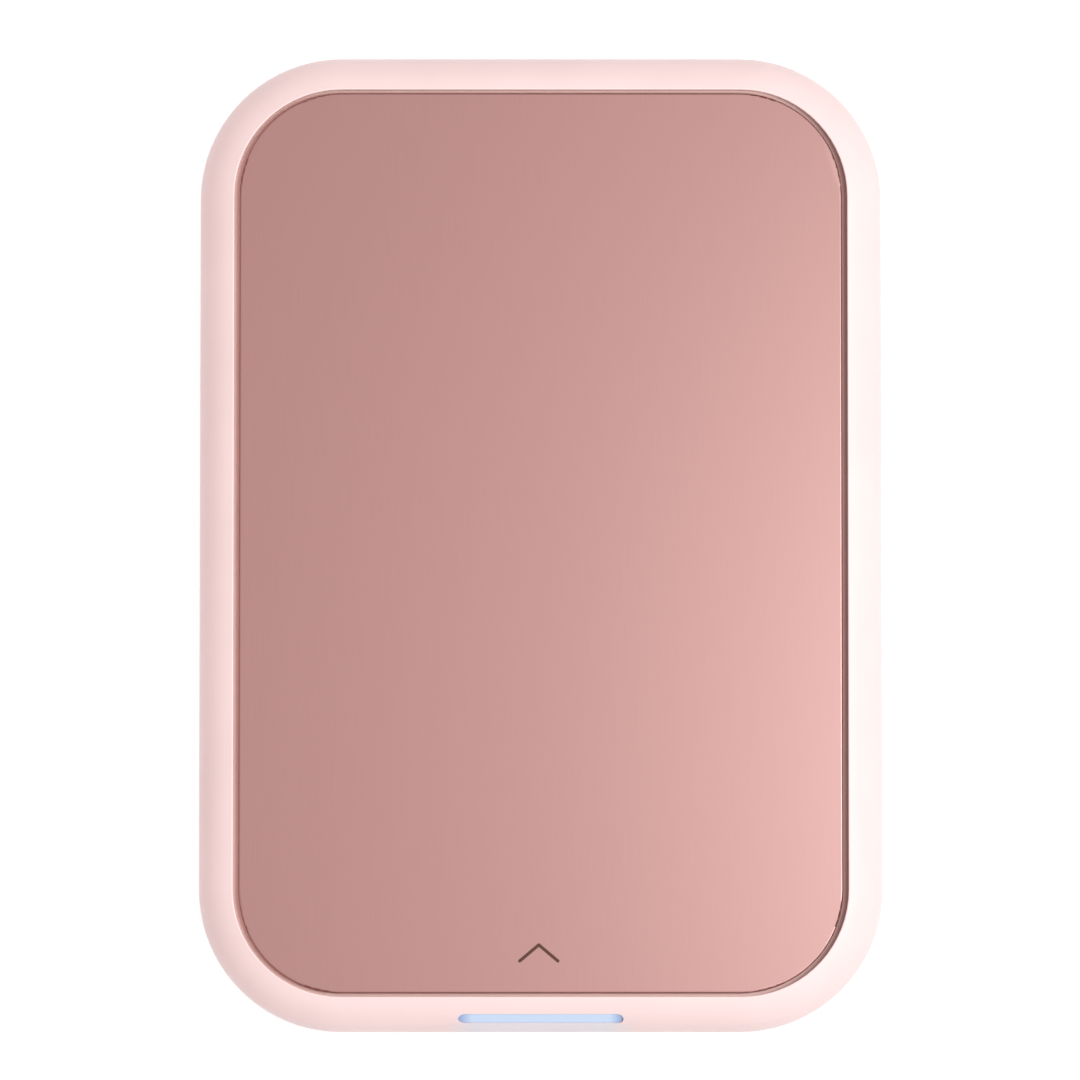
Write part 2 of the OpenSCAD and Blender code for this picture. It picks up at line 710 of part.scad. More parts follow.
// Half a section through the cover before it is hollowed: rounded crown, rim and plate recess
module cover_section(half, h) {
    crown = [half - top_round, h - top_round];
    lip = crown + [lip_in, lip_up];
    difference() {
        half_section(half, h, 0, top_round);
        translate([half, 0]) chamfer_waste(parting_chamfer);
        translate([-1, h - crown_z + recess_z]) square([half - rim_w + 1, h]);
        difference() {
            polygon([lip, lip - [2 * lip_round, 0], lip + [-2 * lip_round, 2], lip + 2 * unit(lip - crown)]);
            translate(lip) circle(lip_round);
        }
    }
}

// The window's outline pushed from r0 to r1 along its own outward direction
module lens_shape(gap, r0, r1) {
    translate([0, -body_l / 2 + top_round, crown_z - top_round]) rotate([90 - lens_angle, 0, 0])
        translate([0, 0, r0]) linear_extrude(r1 - r0)
            rounded_rect(lens_l + 2 * gap, lens_h + 2 * gap, lens_h / 2);
}

// Metal plate let into the lid, with a chevron at its front edge
module cover_plate() {
    z0 = recess_z + tape_t;
    w = recess_w - 2 * side_gap;
    l = recess_l - 2 * end_gap;
    r = recess_r - (side_gap + end_gap) / 2;
    color([0.82, 0.62, 0.59]) difference() {
        rounded_block(w, l, r, z0, z0 + plate_t, high_r = plate_edge);
        translate([chevron_x, chevron_y, z0 + plate_t - chevron_depth]) linear_extrude(1)
            for (s = [0, 1]) mirror([s, 0]) rotate(-40) {
                translate([0, -chevron_r]) square([chevron_arm, 2 * chevron_r]);
                for (x = [0, chevron_arm]) translate([x, 0]) circle(chevron_r);
            }
    }
}

// Adhesive sheet under the metal plate
module plate_tape() {
    color([0.9, 0.9, 0.88])
        rounded_block(recess_w - 4, recess_l - 4, recess_r - 2, recess_z, recess_z + tape_t);
}

// Light window with the guide that brings the light up from the lamps
module led_lens() {
    color([0.8, 0.87, 0.95]) {
        lens_shape(0, 2.4, top_round - 0.25);
        box([-lens_l / 2 + 1.2, y_front + 1.4, paper_z + 3.7],
            [lens_l / 2 - 1.2, y_front + 3, arc_z + 2.5]);
    }
}

// Two magnets in the lid
module lid_magnets() {
    color([0.75, 0.75, 0.76]) for (s = [-1, 1])
        translate([s * magnet_at[0], magnet_at[1], parting_z + 0.35]) cylinder(h = 1.1, r = magnet_r);
}

// Two magnets on the chassis bar that hold the lid down until it slides back
module catch_magnets() {
    color([0.75, 0.75, 0.76]) for (s = [-1, 1])
        translate([s * magnet_at[0], magnet_at[1], bar_top])
            cylinder(h = magnet_top - bar_top, r = magnet_r);
}

// Swinging frame under the lid: the lid slides on it and the pressure plate hangs from it
module hinge_frame() {
    r_out = arc_r - slip_gap;
    color([0.7, 0.71, 0.73]) difference() {
        union() {
            box([-frame_x, frame_y[0], frame_z], [frame_x, frame_y[1], frame_z + frame_t]);
            for (s = [0, 1]) mirror([s, 0, 0]) {
                x0 = knuckle_x[2];
                x1 = knuckle_x[3];
                box([x0, frame_y[1] - 1, frame_z], [x1, arc_y, frame_z + frame_t]);
                difference() {
                    rod(x0, x1, [arc_y, arc_z], r_out);
                    rod(x0 - 1, x1 + 1, [arc_y, arc_z], r_out - frame_t);
                    box([x0 - 1, arc_y - arc_r, arc_z - arc_r], [x1 + 1, arc_y, arc_z + arc_r]);
                    box([x0 - 1, arc_y - arc_r, arc_z - arc_r], [x1 + 1, y_rear + 1, arc_z - 0.3]);
                }
                rod(x0, x1, [knuckle_y, parting_z], knuckle_r);
            }
        }
        for (s = [0, 1]) mirror([s, 0, 0]) {
            rod(knuckle_x[0], knuckle_x[5], [knuckle_y, parting_z], hinge_pin_d / 2 + run_gap);
            for (y = ear_y) translate([rivet_x, y, frame_z - 1]) cylinder(h = 4, r = rivet_r + press_gap);
        }
        for (y = [frame_y[0] + 8, frame_y[0] + 44]) box([-18, y, frame_z - 1], [18, y + 20, frame_z + 3]);
    }
}

// Two pins of the lid hinge
module hinge_pins() {
    color([0.78, 0.78, 0.8]) for (s = [0, 1]) mirror([s, 0, 0])
        rod(knuckle_x[0], knuckle_x[5], [knuckle_y, parting_z], hinge_pin_d / 2);
}

// Plate that presses the paper down, with an ear on each guide rivet
module pressure_plate() {
    color([0.2, 0.2, 0.21]) difference() {
        union() {
            box([-press_half, tray_y0 + 0.6, press_z], [press_half, tray_y1 - 1, press_z + press_t]);
            for (s = [-1, 1], y = ear_y) {
                translate([s * rivet_x, y, press_z]) cylinder(h = press_t, r = ear_l / 2);
                box([min(s * rivet_x, 0), y - ear_l / 2, press_z],
                    [max(s * rivet_x, 0), y + ear_l / 2, press_z + press_t]);
            }
        }
        for (s = [-1, 1], y = ear_y) translate([s * rivet_x, y, press_z - 1])
            cylinder(h = 4, r = rivet_r + 0.12);
    }
}

// Four conical springs between the frame and the pressure plate
module pressure_springs() {
    color([0.8, 0.8, 0.82]) for (s = [-1, 1], y = ear_y)
        translate([s * rivet_x, y, press_z + press_t]) coil_spring(2.2, 1.45, press_spring_h, 0.15, 3);
}

// Four shouldered rivets that guide the pressure plate and stop its drop
module guide_rivets() {
    foot = press_z - press_drop - 0.1;
    color([0.78, 0.78, 0.8]) for (s = [-1, 1], y = ear_y) translate([s * rivet_x, y, 0]) {
        translate([0, 0, foot - 0.7]) cylinder(h = 0.7, r = rivet_r + 0.6);
        translate([0, 0, foot - 0.1]) cylinder(h = frame_z + frame_t - foot + 0.1, r = rivet_r);
    }
}

// ---------- rollers ----------

// Shaft of the platen roller
module platen_shaft() {
    color([0.75, 0.75, 0.77]) rod(-layer_a, shaft_end, platen_at, platen_shaft_d / 2);
}

// Rubber sleeve of the platen roller
module platen_rubber() {
    color([0.1, 0.1, 0.1])
        sleeve(-paper_w / 2, paper_w / 2, platen_at, platen_d / 2, platen_shaft_d / 2 + press_gap);
}

// Bushes of the platen shaft
module platen_bushes() {
    color([0.88, 0.86, 0.8]) bush_pair(platen_at, platen_shaft_d / 2);
}

// Gear on the platen shaft
module platen_gear() {
    color([0.93, 0.92, 0.88])
        bored_gear(platen_n, platen_phase, platen_at, layer_a, gear_t, platen_shaft_d / 2 + press_gap);
}

// Shaft of the exit roller
module exit_shaft() {
    color([0.75, 0.75, 0.77]) stepped_shaft(exit_at);
}

// Two tyres of the exit roller
module exit_tyres() {
    color([0.1, 0.1, 0.1]) for (s = [0, 1]) mirror([s, 0, 0])
        sleeve(tyre_x[0], tyre_x[1], exit_at, exit_d / 2, roller_shaft_d / 2 + journal_step + press_gap);
}

// Bushes of the exit shaft
module exit_bushes() {
    color([0.88, 0.86, 0.8]) bush_pair(exit_at, roller_shaft_d / 2);
}

// Gear on the exit shaft
module exit_gear() {
    color([0.93, 0.92, 0.88])
        bored_gear(exit_n, exit_phase, exit_at, layer_a, gear_t, roller_shaft_d / 2 + press_gap);
}

// Idler between the platen gear and the exit gear
module exit_idler_gear() {
    color([0.93, 0.92, 0.88])
        bored_gear(exit_idler_n, exit_idler_phase, exit_idler_at, layer_a, gear_t, axle_d / 2 + run_gap);
}

// Shaft of the pinch rollers over the exit tyres
module pinch_shaft() {
    at = [exit_y, pinch_z];
    color([0.75, 0.75, 0.77]) {
        rod(-paper_w / 2, paper_w / 2, at, pinch_shaft_d / 2);
        rod(-chassis_out, chassis_out, at, pinch_shaft_d / 2 - 0.2);
    }
}

// Two pinch rollers
module pinch_rollers() {
    color([0.85, 0.85, 0.83]) for (s = [0, 1]) mirror([s, 0, 0])
        sleeve(tyre_x[0], tyre_x[1], [exit_y, pinch_z], pinch_d / 2, pinch_shaft_d / 2 + press_gap);
}

// Shaft of the pickup roller
module pickup_shaft() {
    color([0.75, 0.75, 0.77]) stepped_shaft(pickup_at);
}

// Two tyres of the pickup roller
module pickup_tyres() {
    color([0.22, 0.22, 0.23]) for (s = [0, 1]) mirror([s, 0, 0])
        sleeve(pickup_x[0], pickup_x[1], pickup_at, pickup_d / 2,
            roller_shaft_d / 2 + journal_step + press_gap);
}

// Bushes of the pickup shaft
module pickup_bushes() {
    color([0.88, 0.86, 0.8]) bush_pair(pickup_at, roller_shaft_d / 2);
}

// Gear on the pickup shaft
module pickup_gear() {
    color([0.93, 0.92, 0.88])
        bored_gear(pickup_n, pickup_phase, pickup_at, layer_a, gear_t, roller_shaft_d / 2 + press_gap);
}

// Roller shaft with thinner journals in its bushes
module stepped_shaft(at) {
    rod(-paper_w / 2, paper_w / 2, at, roller_shaft_d / 2 + journal_step);
    rod(-layer_a, shaft_end, at, roller_shaft_d / 2);
}

// Spur gear with a round bore
module bored_gear(n, phase, at, x_out, width, bore) {
    difference() {
        spur_gear(n, phase, at, x_out, width);
        rod(-x_out - 1, -x_out + width + 1, at, bore);
    }
}

// ---------- drive ----------

// Motor can on the inner face of the left chassis wall
module drive_motor() {
    color([0.72, 0.72, 0.73]) difference() {
        union() {
            rod(-chassis_in, -chassis_in + motor_l, motor_at, motor_d / 2);
            rod(-chassis_in - 0.8, -chassis_in + 1, motor_at, motor_boss_r);
            rod(-chassis_in + motor_l - 1, -chassis_in + motor_l + 0.8, motor_at, motor_boss_r);
        }
        rod(-chassis_in - 1, -chassis_in + 12, motor_at, motor_shaft_r + run_gap);
        for (t = [-1, 1]) rod(-chassis_in - 1, -chassis_in + 2.5, motor_at + [0, t * motor_screw_r],
            screw_r + press_gap);
    }
}

// Shaft of the motor
module motor_shaft() {
    color([0.8, 0.8, 0.82]) rod(-layer_b - 0.3, -chassis_in + 11.8, motor_at, motor_shaft_r);
}

// Pinion on the motor shaft
module motor_pinion() {
    color([0.78, 0.66, 0.35])
        bored_gear(small_n, motor_phase, motor_at, layer_b, gear_t, motor_shaft_r + press_gap);
}

// Wires from the motor to the circuit board
module motor_leads() {
    x0 = -chassis_in + motor_l + wire_r;
    x1 = battery_w / 2 + 1.6;
    color([0.7, 0.15, 0.12]) for (i = [0, 1]) let(z = floor_z + 1 + 0.9 * i) wire([
        [x0, motor_y, motor_z - 2.4 + 4.8 * i],
        [x0 + 4, motor_y, z],
        [x1 - 2, motor_y, z],
        [x1, motor_y + 2, z],
        [x1, board_y[0] - 3.4, z],
        [20.6 - 0.4 * i, board_y[0] - 1, board_top + 0.8 + 0.9 * i],
        [19 - 1.8 * i, board_y[0] + 0.45, board_top + 1 + 0.6 * i]
    ], wire_r);
}

// Two-step gear between the motor and the platen gear
module front_reduction_gear() {
    color([0.93, 0.92, 0.88]) two_step_gear(front_gear_at, front_small_phase, front_big_phase);
}

// Two-step gear between the motor and the pickup gear
module rear_reduction_gear() {
    color([0.93, 0.92, 0.88]) two_step_gear(rear_gear_at, rear_small_phase, rear_big_phase);
}

// Small gear in the inner layer joined to a large one in the outer layer
module two_step_gear(at, small_phase, big_phase) {
    difference() {
        union() {
            spur_gear(small_n, small_phase, at, layer_a + layer_gap + 0.1, gear_t + layer_gap + 0.1);
            spur_gear(big_n, big_phase, at, layer_b, gear_t);
        }
        rod(-layer_b - 1, -chassis_out, at, axle_d / 2 + run_gap);
    }
}

// Fixed axles of the loose gears
module gear_axles() {
    color([0.8, 0.8, 0.82]) for (at = [exit_idler_at, front_gear_at, rear_gear_at])
        rod(-gear_plate_x - gear_plate_t, -chassis_in, at, axle_d / 2);
}

// Steel plate that holds the outer ends of the axles
module gear_plate() {
    y0 = exit_idler_at[0] - 2;
    y1 = plate_posts[2][0] + 2.2;
    z0 = rear_gear_at[1] - 2;
    z1 = plate_posts[2][1] + 2;
    color([0.72, 0.73, 0.75]) difference() {
        union() {
            box([-gear_plate_x - gear_plate_t, y0, z0], [-gear_plate_x, y1, z1]);
            box([-gear_plate_x - gear_plate_t, plate_posts[0][0] - 2, z0],
                [-gear_plate_x, plate_posts[0][0] + 2, plate_posts[0][1] + 2]);
        }
        for (at = [exit_idler_at, front_gear_at, rear_gear_at])
            rod(-gear_plate_x - 2, -gear_plate_x + 1, at, axle_d / 2 + press_gap);
        for (at = plate_posts) rod(-gear_plate_x - 2, -gear_plate_x + 1, at, screw_r + 0.1);
        for (t = [[-1.8, -1.9], [6.6, 1.5]])
            rod(-gear_plate_x - 2, -gear_plate_x + 1, (platen_at + motor_at) / 2 + [t[0] - 4, t[1] + 3], 1);
    }
}

// Small screws of the gear plate, the motor and the head bridge
module frame_screws() {
    color([0.6, 0.6, 0.62]) {
        for (at = plate_posts) on_axle(-gear_plate_x - gear_plate_t - screw_head_h, at)
            pan_screw(screw_head_r, screw_head_h, screw_r, frame_screw_l);
        for (t = [-1, 1]) on_axle(-chassis_out - screw_head_h, motor_at + [0, t * motor_screw_r])
            pan_screw(screw_head_r, screw_head_h, screw_r, frame_screw_l);
        for (s = [-1, 1]) translate([s * bridge_screw[0], bridge_screw[1],
            bridge_z + bridge_t + screw_head_h])
            rotate([180, 0, 0]) pan_screw(screw_head_r, screw_head_h, screw_r, frame_screw_l);
    }
}

// ---------- print head ----------

// Heat sink that carries the thermal head and swings on its pin
module print_head() {
    y1 = head_pin_at[0] + pivot_half;
    color([0.75, 0.76, 0.78]) difference() {
        union() {
            box([-head_half, head_front, head_z], [head_half, y1, head_z + head_t]);
            box([-head_half, head_pin_at[0] - pivot_half, head_z], [head_half, y1, pivot_top]);
            for (i = [0:3]) box([-11, head_front + 0.8 + 2 * i, head_z + 1],
                [11, head_front + 1.6 + 2 * i, head_z + head_t + 1.2]);
        }
        rod(-head_half - 1, head_half + 1, head_pin_at, head_pin_r + run_gap);
    }
}

// Ceramic strip with the heating line
module head_ceramic() {
    color([0.92, 0.93, 0.9])
        box([-head_half + 0.4, platen_y - 4.5, paper_z + head_gap],
            [head_half - 0.4, platen_y + 5, head_z]);
}

// Pin on which the print head swings
module head_pin() {
    color([0.78, 0.78, 0.8]) rod(-chassis_out, chassis_out, head_pin_at, head_pin_r);
}

// Two springs that press the head on the platen
module head_springs() {
    color([0.8, 0.8, 0.82]) for (s = [-1, 1])
        translate([s * head_spring_at[0], head_spring_at[1], head_z + head_t])
            coil_spring(head_spring_r, head_spring_r, bridge_z - head_z - head_t, 0.25, 4);
}

// Steel bridge that the head springs push against
module head_bridge() {
    x1 = bridge_screw[0] + 1.6;
    color([0.72, 0.73, 0.75]) difference() {
        box([-x1, bridge_y[0], bridge_z], [x1, bridge_y[1], bridge_z + bridge_t]);
        for (s = [-1, 1]) translate([s * bridge_screw[0], bridge_screw[1], bridge_z - 1])
            cylinder(h = 3, r = screw_r + 0.1);
    }
}

// Flat cable from the print head to the circuit board
module head_ribbon() {
    z0 = board_top + 0.4;
    y1 = board_y[0] + 12;
    color([0.85, 0.55, 0.2]) {
        box([14, ribbon_y[0], ribbon_z], [ribbon_x + ribbon_t, ribbon_y[1], ribbon_z + ribbon_t]);
        box([ribbon_x, ribbon_y[0], z0], [ribbon_x + ribbon_t, ribbon_y[1], ribbon_z + ribbon_t]);
        box([ribbon_x, ribbon_y[0], z0], [ribbon_x + ribbon_t, y1, z0 + 5.2]);
        box([board_half - 2.2, y1 - 5.2, z0], [ribbon_x + ribbon_t, y1, z0 + ribbon_t]);
    }
}

// Optical sensor under the deck that looks for paper in the tray
module paper_sensor() {
    color([0.15, 0.15, 0.16])
        box([sensor_at[0] - 1.8, sensor_at[1] - 1.3, deck_z - 1.2],
            [sensor_at[0] + 1.8, sensor_at[1] + 1.3, deck_z]);
}

// ---------- power and control ----------

// Flat lithium cell
module battery() {
    color([0.75, 0.77, 0.8]) translate([0, battery_y + battery_l / 2, floor_z])
        rotate([90, 0, 0]) linear_extrude(battery_l, center = true)
            translate([0, battery_t / 2]) rounded_rect(battery_w, battery_t, 1.2);
}

// Wires from the battery to the circuit board
module battery_leads() {
    y0 = battery_y + battery_l + 0.02;
    color([0.1, 0.1, 0.1]) for (i = [0, 1]) wire([[-12.4 - 1.4 * i, y0, floor_z + 3.4],
        [-12.4 - 1.4 * i, y0 + 1.5, floor_z + 3.4],
        [-12.4 - 1.4 * i, board_y[0] + 0.65, board_top + 1.2]], wire_r);
}

// Wires from the lamps and the paper sensor to the circuit board
module signal_leads() {
    x = ribbon_x + 0.8;
    y = y_front + 0.55;
    color([0.15, 0.15, 0.4]) {
        wire([[lens_l / 2 - 0.75, y + 2.2, bar_top + 0.3], [lens_l / 2 + 4, y, bar_top + 0.3],
            [chassis_in - 1.5, y, bar_top + 0.3],
            [x, y + 2.6, bar_top + 0.3],
            [x, y + 5, board_top + 3.9],
            [x, board_y[0] + 13.6, board_top + 3.9],
            [x - 1.4, board_y[0] + 14.8, board_top + 1.6],
            [board_half - 1.95, board_y[0] + 14.8, board_top + 1.2]], 0.25);
        wire([[sensor_at[0] + 1.85, sensor_at[1], deck_z - 0.7],
            [chassis_in - 2, sensor_at[1], deck_z - 0.7],
            [chassis_in - 1.5, sensor_at[1] + 1, deck_z - 0.7],
            [chassis_in - 1.5, board_y[0] - 2, deck_z - 0.7],
            [16, board_y[0] + 0.45, board_top + 1.8]], 0.25);
    }
}

// Main circuit board
module main_board() {
    color([0.05, 0.3, 0.18]) difference() {
        box([-board_half, board_y[0], board_z], [board_half, board_y[1], board_top]);
        for (s = [-1, 1], y = [board_post[1], board_post[2]])
            translate([s * board_post[0], y, board_z - 1]) cylinder(h = 4, r = screw_r + 0.15);
    }
}

// Four screws of the circuit board
module board_screws() {
    color([0.6, 0.6, 0.62]) for (s = [-1, 1], y = [board_post[1], board_post[2]])
        translate([s * board_post[0], y, board_top + screw_head_h]) rotate([180, 0, 0])
            pan_screw(screw_head_r, screw_head_h, screw_r, board_screw_l);
}

// Chips and plug sockets on the circuit board
module board_chips() {
    y = board_y[0];
    color([0.12, 0.12, 0.13]) {
        box([-16.5, y + 0.7, board_top], [-10, y + 4.5, board_top + 2.4]);
        box([14, y + 0.7, board_top], [20, y + 4.5, board_top + 2.4]);
        box([board_half - 5.6, y + 6.4, board_top], [board_half - 2.4, y + 12.4, board_top + 1.2]);
        box([board_half - 5.6, y + 13.4, board_top], [board_half - 2, y + 16.4, board_top + 2]);
        box([-3, y + 5, board_top], [6, y + 14, board_top + 0.9]);
        box([8.5, y + 7, board_top], [13.5, y + 13, board_top + 0.8]);
        box([-21, y + 8, board_top], [-15, y + 14, board_top + 1.4]);
        for (x = [-12, -8]) translate([x, y + 11, board_top]) cylinder(h = 2.6, r = 1.5);
    }
}

// Charging socket
module usb_port() {
    y0 = board_y[1] - 4;
    y1 = body_l / 2 - 0.8;
    z = board_top + usb_h / 2;
    color([0.78, 0.78, 0.8]) difference() {
        translate([usb_x, y0, z]) rotate([-90, 0, 0]) linear_extrude(y1 - y0)
            rounded_rect(usb_w, usb_h, 0.7);
        translate([usb_x, y0 + 0.6, z]) rotate([-90, 0, 0]) linear_extrude(y1 - y0)
            difference() {
                rounded_rect(usb_w - 0.7, usb_h - 0.7, 0.4);
                translate([0, -0.3]) square([4, 0.6], center = true);
            }
    }
}

// Cap of the power button, with the flange that keeps it in the wall
module power_button() {
    color([0.93, 0.87, 0.85]) translate([button_x, 0, button_z]) {
        translate([0, y_rear - 0.4, 0]) rotate([-90, 0, 0]) linear_extrude(wall + 0.1)
            rounded_rect(button_w, button_h, button_h / 2 - 0.01);
        translate([0, y_rear - 1.1, 0]) rotate([-90, 0, 0]) linear_extrude(0.9)
            rounded_rect(button_w + 2, button_h + 1.4, 1.6);
    }
}

// Plunger between the button and the contacts
module switch_plunger() {
    color([0.2, 0.2, 0.2]) translate([button_x, y_rear - 1.1, button_z]) rotate([90, 0, 0])
        cylinder(h = 2.4, r = 0.9);
}

// Push switch on the circuit board
module power_switch() {
    y1 = y_rear - 1.1 - button_travel - 0.5;
    color([0.8, 0.8, 0.82]) difference() {
        box([button_x - 3, y1 - 3.4, board_top], [button_x + 3, y1, button_z + 2]);
        translate([button_x, y1 + 1, button_z]) rotate([90, 0, 0]) cylinder(h = 3.6, r = 0.9 + run_gap);
    }
}

// Circuit board of the status lamps, on the chassis bar
module led_board() {
    color([0.05, 0.3, 0.18])
        box([-lens_l / 2 + 0.8, y_front + 1, bar_top], [lens_l / 2 - 0.8, bar_y1 - 0.6, bar_top + 0.5]);
}

// Three status lamps
module status_leds() {
    color([0.95, 0.95, 0.8]) for (x = [-1, 0, 1])
        translate([x * lens_l * 0.3, y_front + 2.2, bar_top + 0.5])
        box([-0.8, -0.6, 0], [0.8, 0.6, 0.4]);
}

base_shell();
rubber_feet();
base_screws();
chassis();
separator_gate();
cover_shell();
cover_plate();
plate_tape();
led_lens();
lid_magnets();
catch_magnets();
hinge_frame();
hinge_pins();
pressure_plate();
pressure_springs();
guide_rivets();
platen_shaft();
platen_rubber();
platen_bushes();
platen_gear();
exit_shaft();
exit_tyres();
exit_bushes();
exit_gear();
exit_idler_gear();
pinch_shaft();
pinch_rollers();
pickup_shaft();
pickup_tyres();
pickup_bushes();
pickup_gear();
drive_motor();
motor_shaft();
motor_pinion();
motor_leads();
front_reduction_gear();
rear_reduction_gear();
gear_axles();
gear_plate();
frame_screws();
print_head();
head_ceramic();
head_pin();
head_springs();
head_bridge();
head_ribbon();
paper_sensor();
signal_leads();
battery();
battery_leads();
main_board();
board_screws();
board_chips();
usb_port();
power_button();
switch_plunger();
power_switch();
led_board();
status_leds();
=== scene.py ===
"""Compact photo printer: finishes, small details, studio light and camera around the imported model."""

import json
import math

import bmesh
import bpy
from mathutils import Matrix, Vector
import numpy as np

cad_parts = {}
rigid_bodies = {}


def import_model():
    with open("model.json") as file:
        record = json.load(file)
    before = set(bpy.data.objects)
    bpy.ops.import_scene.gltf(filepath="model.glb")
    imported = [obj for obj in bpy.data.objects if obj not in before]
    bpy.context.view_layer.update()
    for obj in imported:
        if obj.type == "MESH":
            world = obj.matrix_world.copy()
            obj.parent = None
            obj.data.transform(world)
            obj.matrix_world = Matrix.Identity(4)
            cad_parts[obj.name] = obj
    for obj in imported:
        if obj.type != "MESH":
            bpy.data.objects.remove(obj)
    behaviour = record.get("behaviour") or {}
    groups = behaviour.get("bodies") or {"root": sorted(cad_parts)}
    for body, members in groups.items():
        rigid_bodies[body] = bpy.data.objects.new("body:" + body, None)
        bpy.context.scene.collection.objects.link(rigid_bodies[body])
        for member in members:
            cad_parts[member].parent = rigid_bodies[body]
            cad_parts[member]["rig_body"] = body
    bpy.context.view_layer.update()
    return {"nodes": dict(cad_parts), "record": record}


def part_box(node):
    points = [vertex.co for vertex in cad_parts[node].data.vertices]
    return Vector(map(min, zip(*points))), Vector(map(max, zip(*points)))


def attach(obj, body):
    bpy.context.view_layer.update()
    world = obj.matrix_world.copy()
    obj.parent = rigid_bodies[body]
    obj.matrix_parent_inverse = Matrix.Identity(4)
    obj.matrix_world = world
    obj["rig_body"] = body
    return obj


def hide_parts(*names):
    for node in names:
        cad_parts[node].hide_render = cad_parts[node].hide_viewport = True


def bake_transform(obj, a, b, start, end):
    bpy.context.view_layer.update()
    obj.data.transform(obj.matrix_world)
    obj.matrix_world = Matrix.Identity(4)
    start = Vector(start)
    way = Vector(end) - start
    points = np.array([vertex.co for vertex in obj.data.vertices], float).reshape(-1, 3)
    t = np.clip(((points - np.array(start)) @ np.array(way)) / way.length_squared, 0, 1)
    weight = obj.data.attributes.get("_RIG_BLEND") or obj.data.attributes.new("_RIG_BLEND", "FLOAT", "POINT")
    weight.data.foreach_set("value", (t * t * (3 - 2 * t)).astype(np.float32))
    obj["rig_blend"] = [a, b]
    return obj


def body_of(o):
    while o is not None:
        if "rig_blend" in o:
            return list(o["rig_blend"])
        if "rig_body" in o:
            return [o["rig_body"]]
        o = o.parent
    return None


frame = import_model()
nodes = frame["nodes"]
MM = 0.001

# ---------- camera ----------

SENSOR = 36.0
LENS = 240.0
PHOTO_W = 1080
OUTLINE_CENTRE = (540.8, 546.4)  # pixels, in the 1080 x 1080 frame
PIXELS_PER_MM = 8.07
TILT = math.radians(3.2)  # the camera leans this far from straight above, towards the exit end
OUTLINE_Z = 11 * MM


def make_camera():
    data = bpy.data.cameras.new("camera")
    data.sensor_width = SENSOR
    data.lens = LENS
    data.clip_start = 0.01
    data.clip_end = 20
    camera = bpy.data.objects.new("camera", data)
    bpy.context.scene.collection.objects.link(camera)
    distance = PHOTO_W / PIXELS_PER_MM * MM * LENS / SENSOR
    back = Vector((0, -math.sin(TILT), math.cos(TILT)))
    up = Vector((0, math.cos(TILT), math.sin(TILT)))
    right = Vector((1, 0, 0))
    per_pixel = MM / PIXELS_PER_MM
    target = Vector((0, 0, OUTLINE_Z))
    target += right * (PHOTO_W / 2 - OUTLINE_CENTRE[0]) * per_pixel
    target += up * (OUTLINE_CENTRE[1] - PHOTO_W / 2) * per_pixel
    camera.matrix_world = Matrix.Translation(target + back * distance) @ Matrix.Rotation(TILT, 4, "X")
    bpy.context.scene.camera = camera


make_camera()

# ---------- node graphs ----------


def srgb(red, green, blue):
    """Linear colour of a display colour given from 0 to 255."""
    def linear(value):
        value /= 255
        return value / 12.92 if value <= 0.04045 else ((value + 0.055) / 1.055) ** 2.4

    return (linear(red), linear(green), linear(blue), 1.0)


def scaled(colour, factor):
    return (*(min(1.0, c * factor) for c in colour[:3]), 1.0)


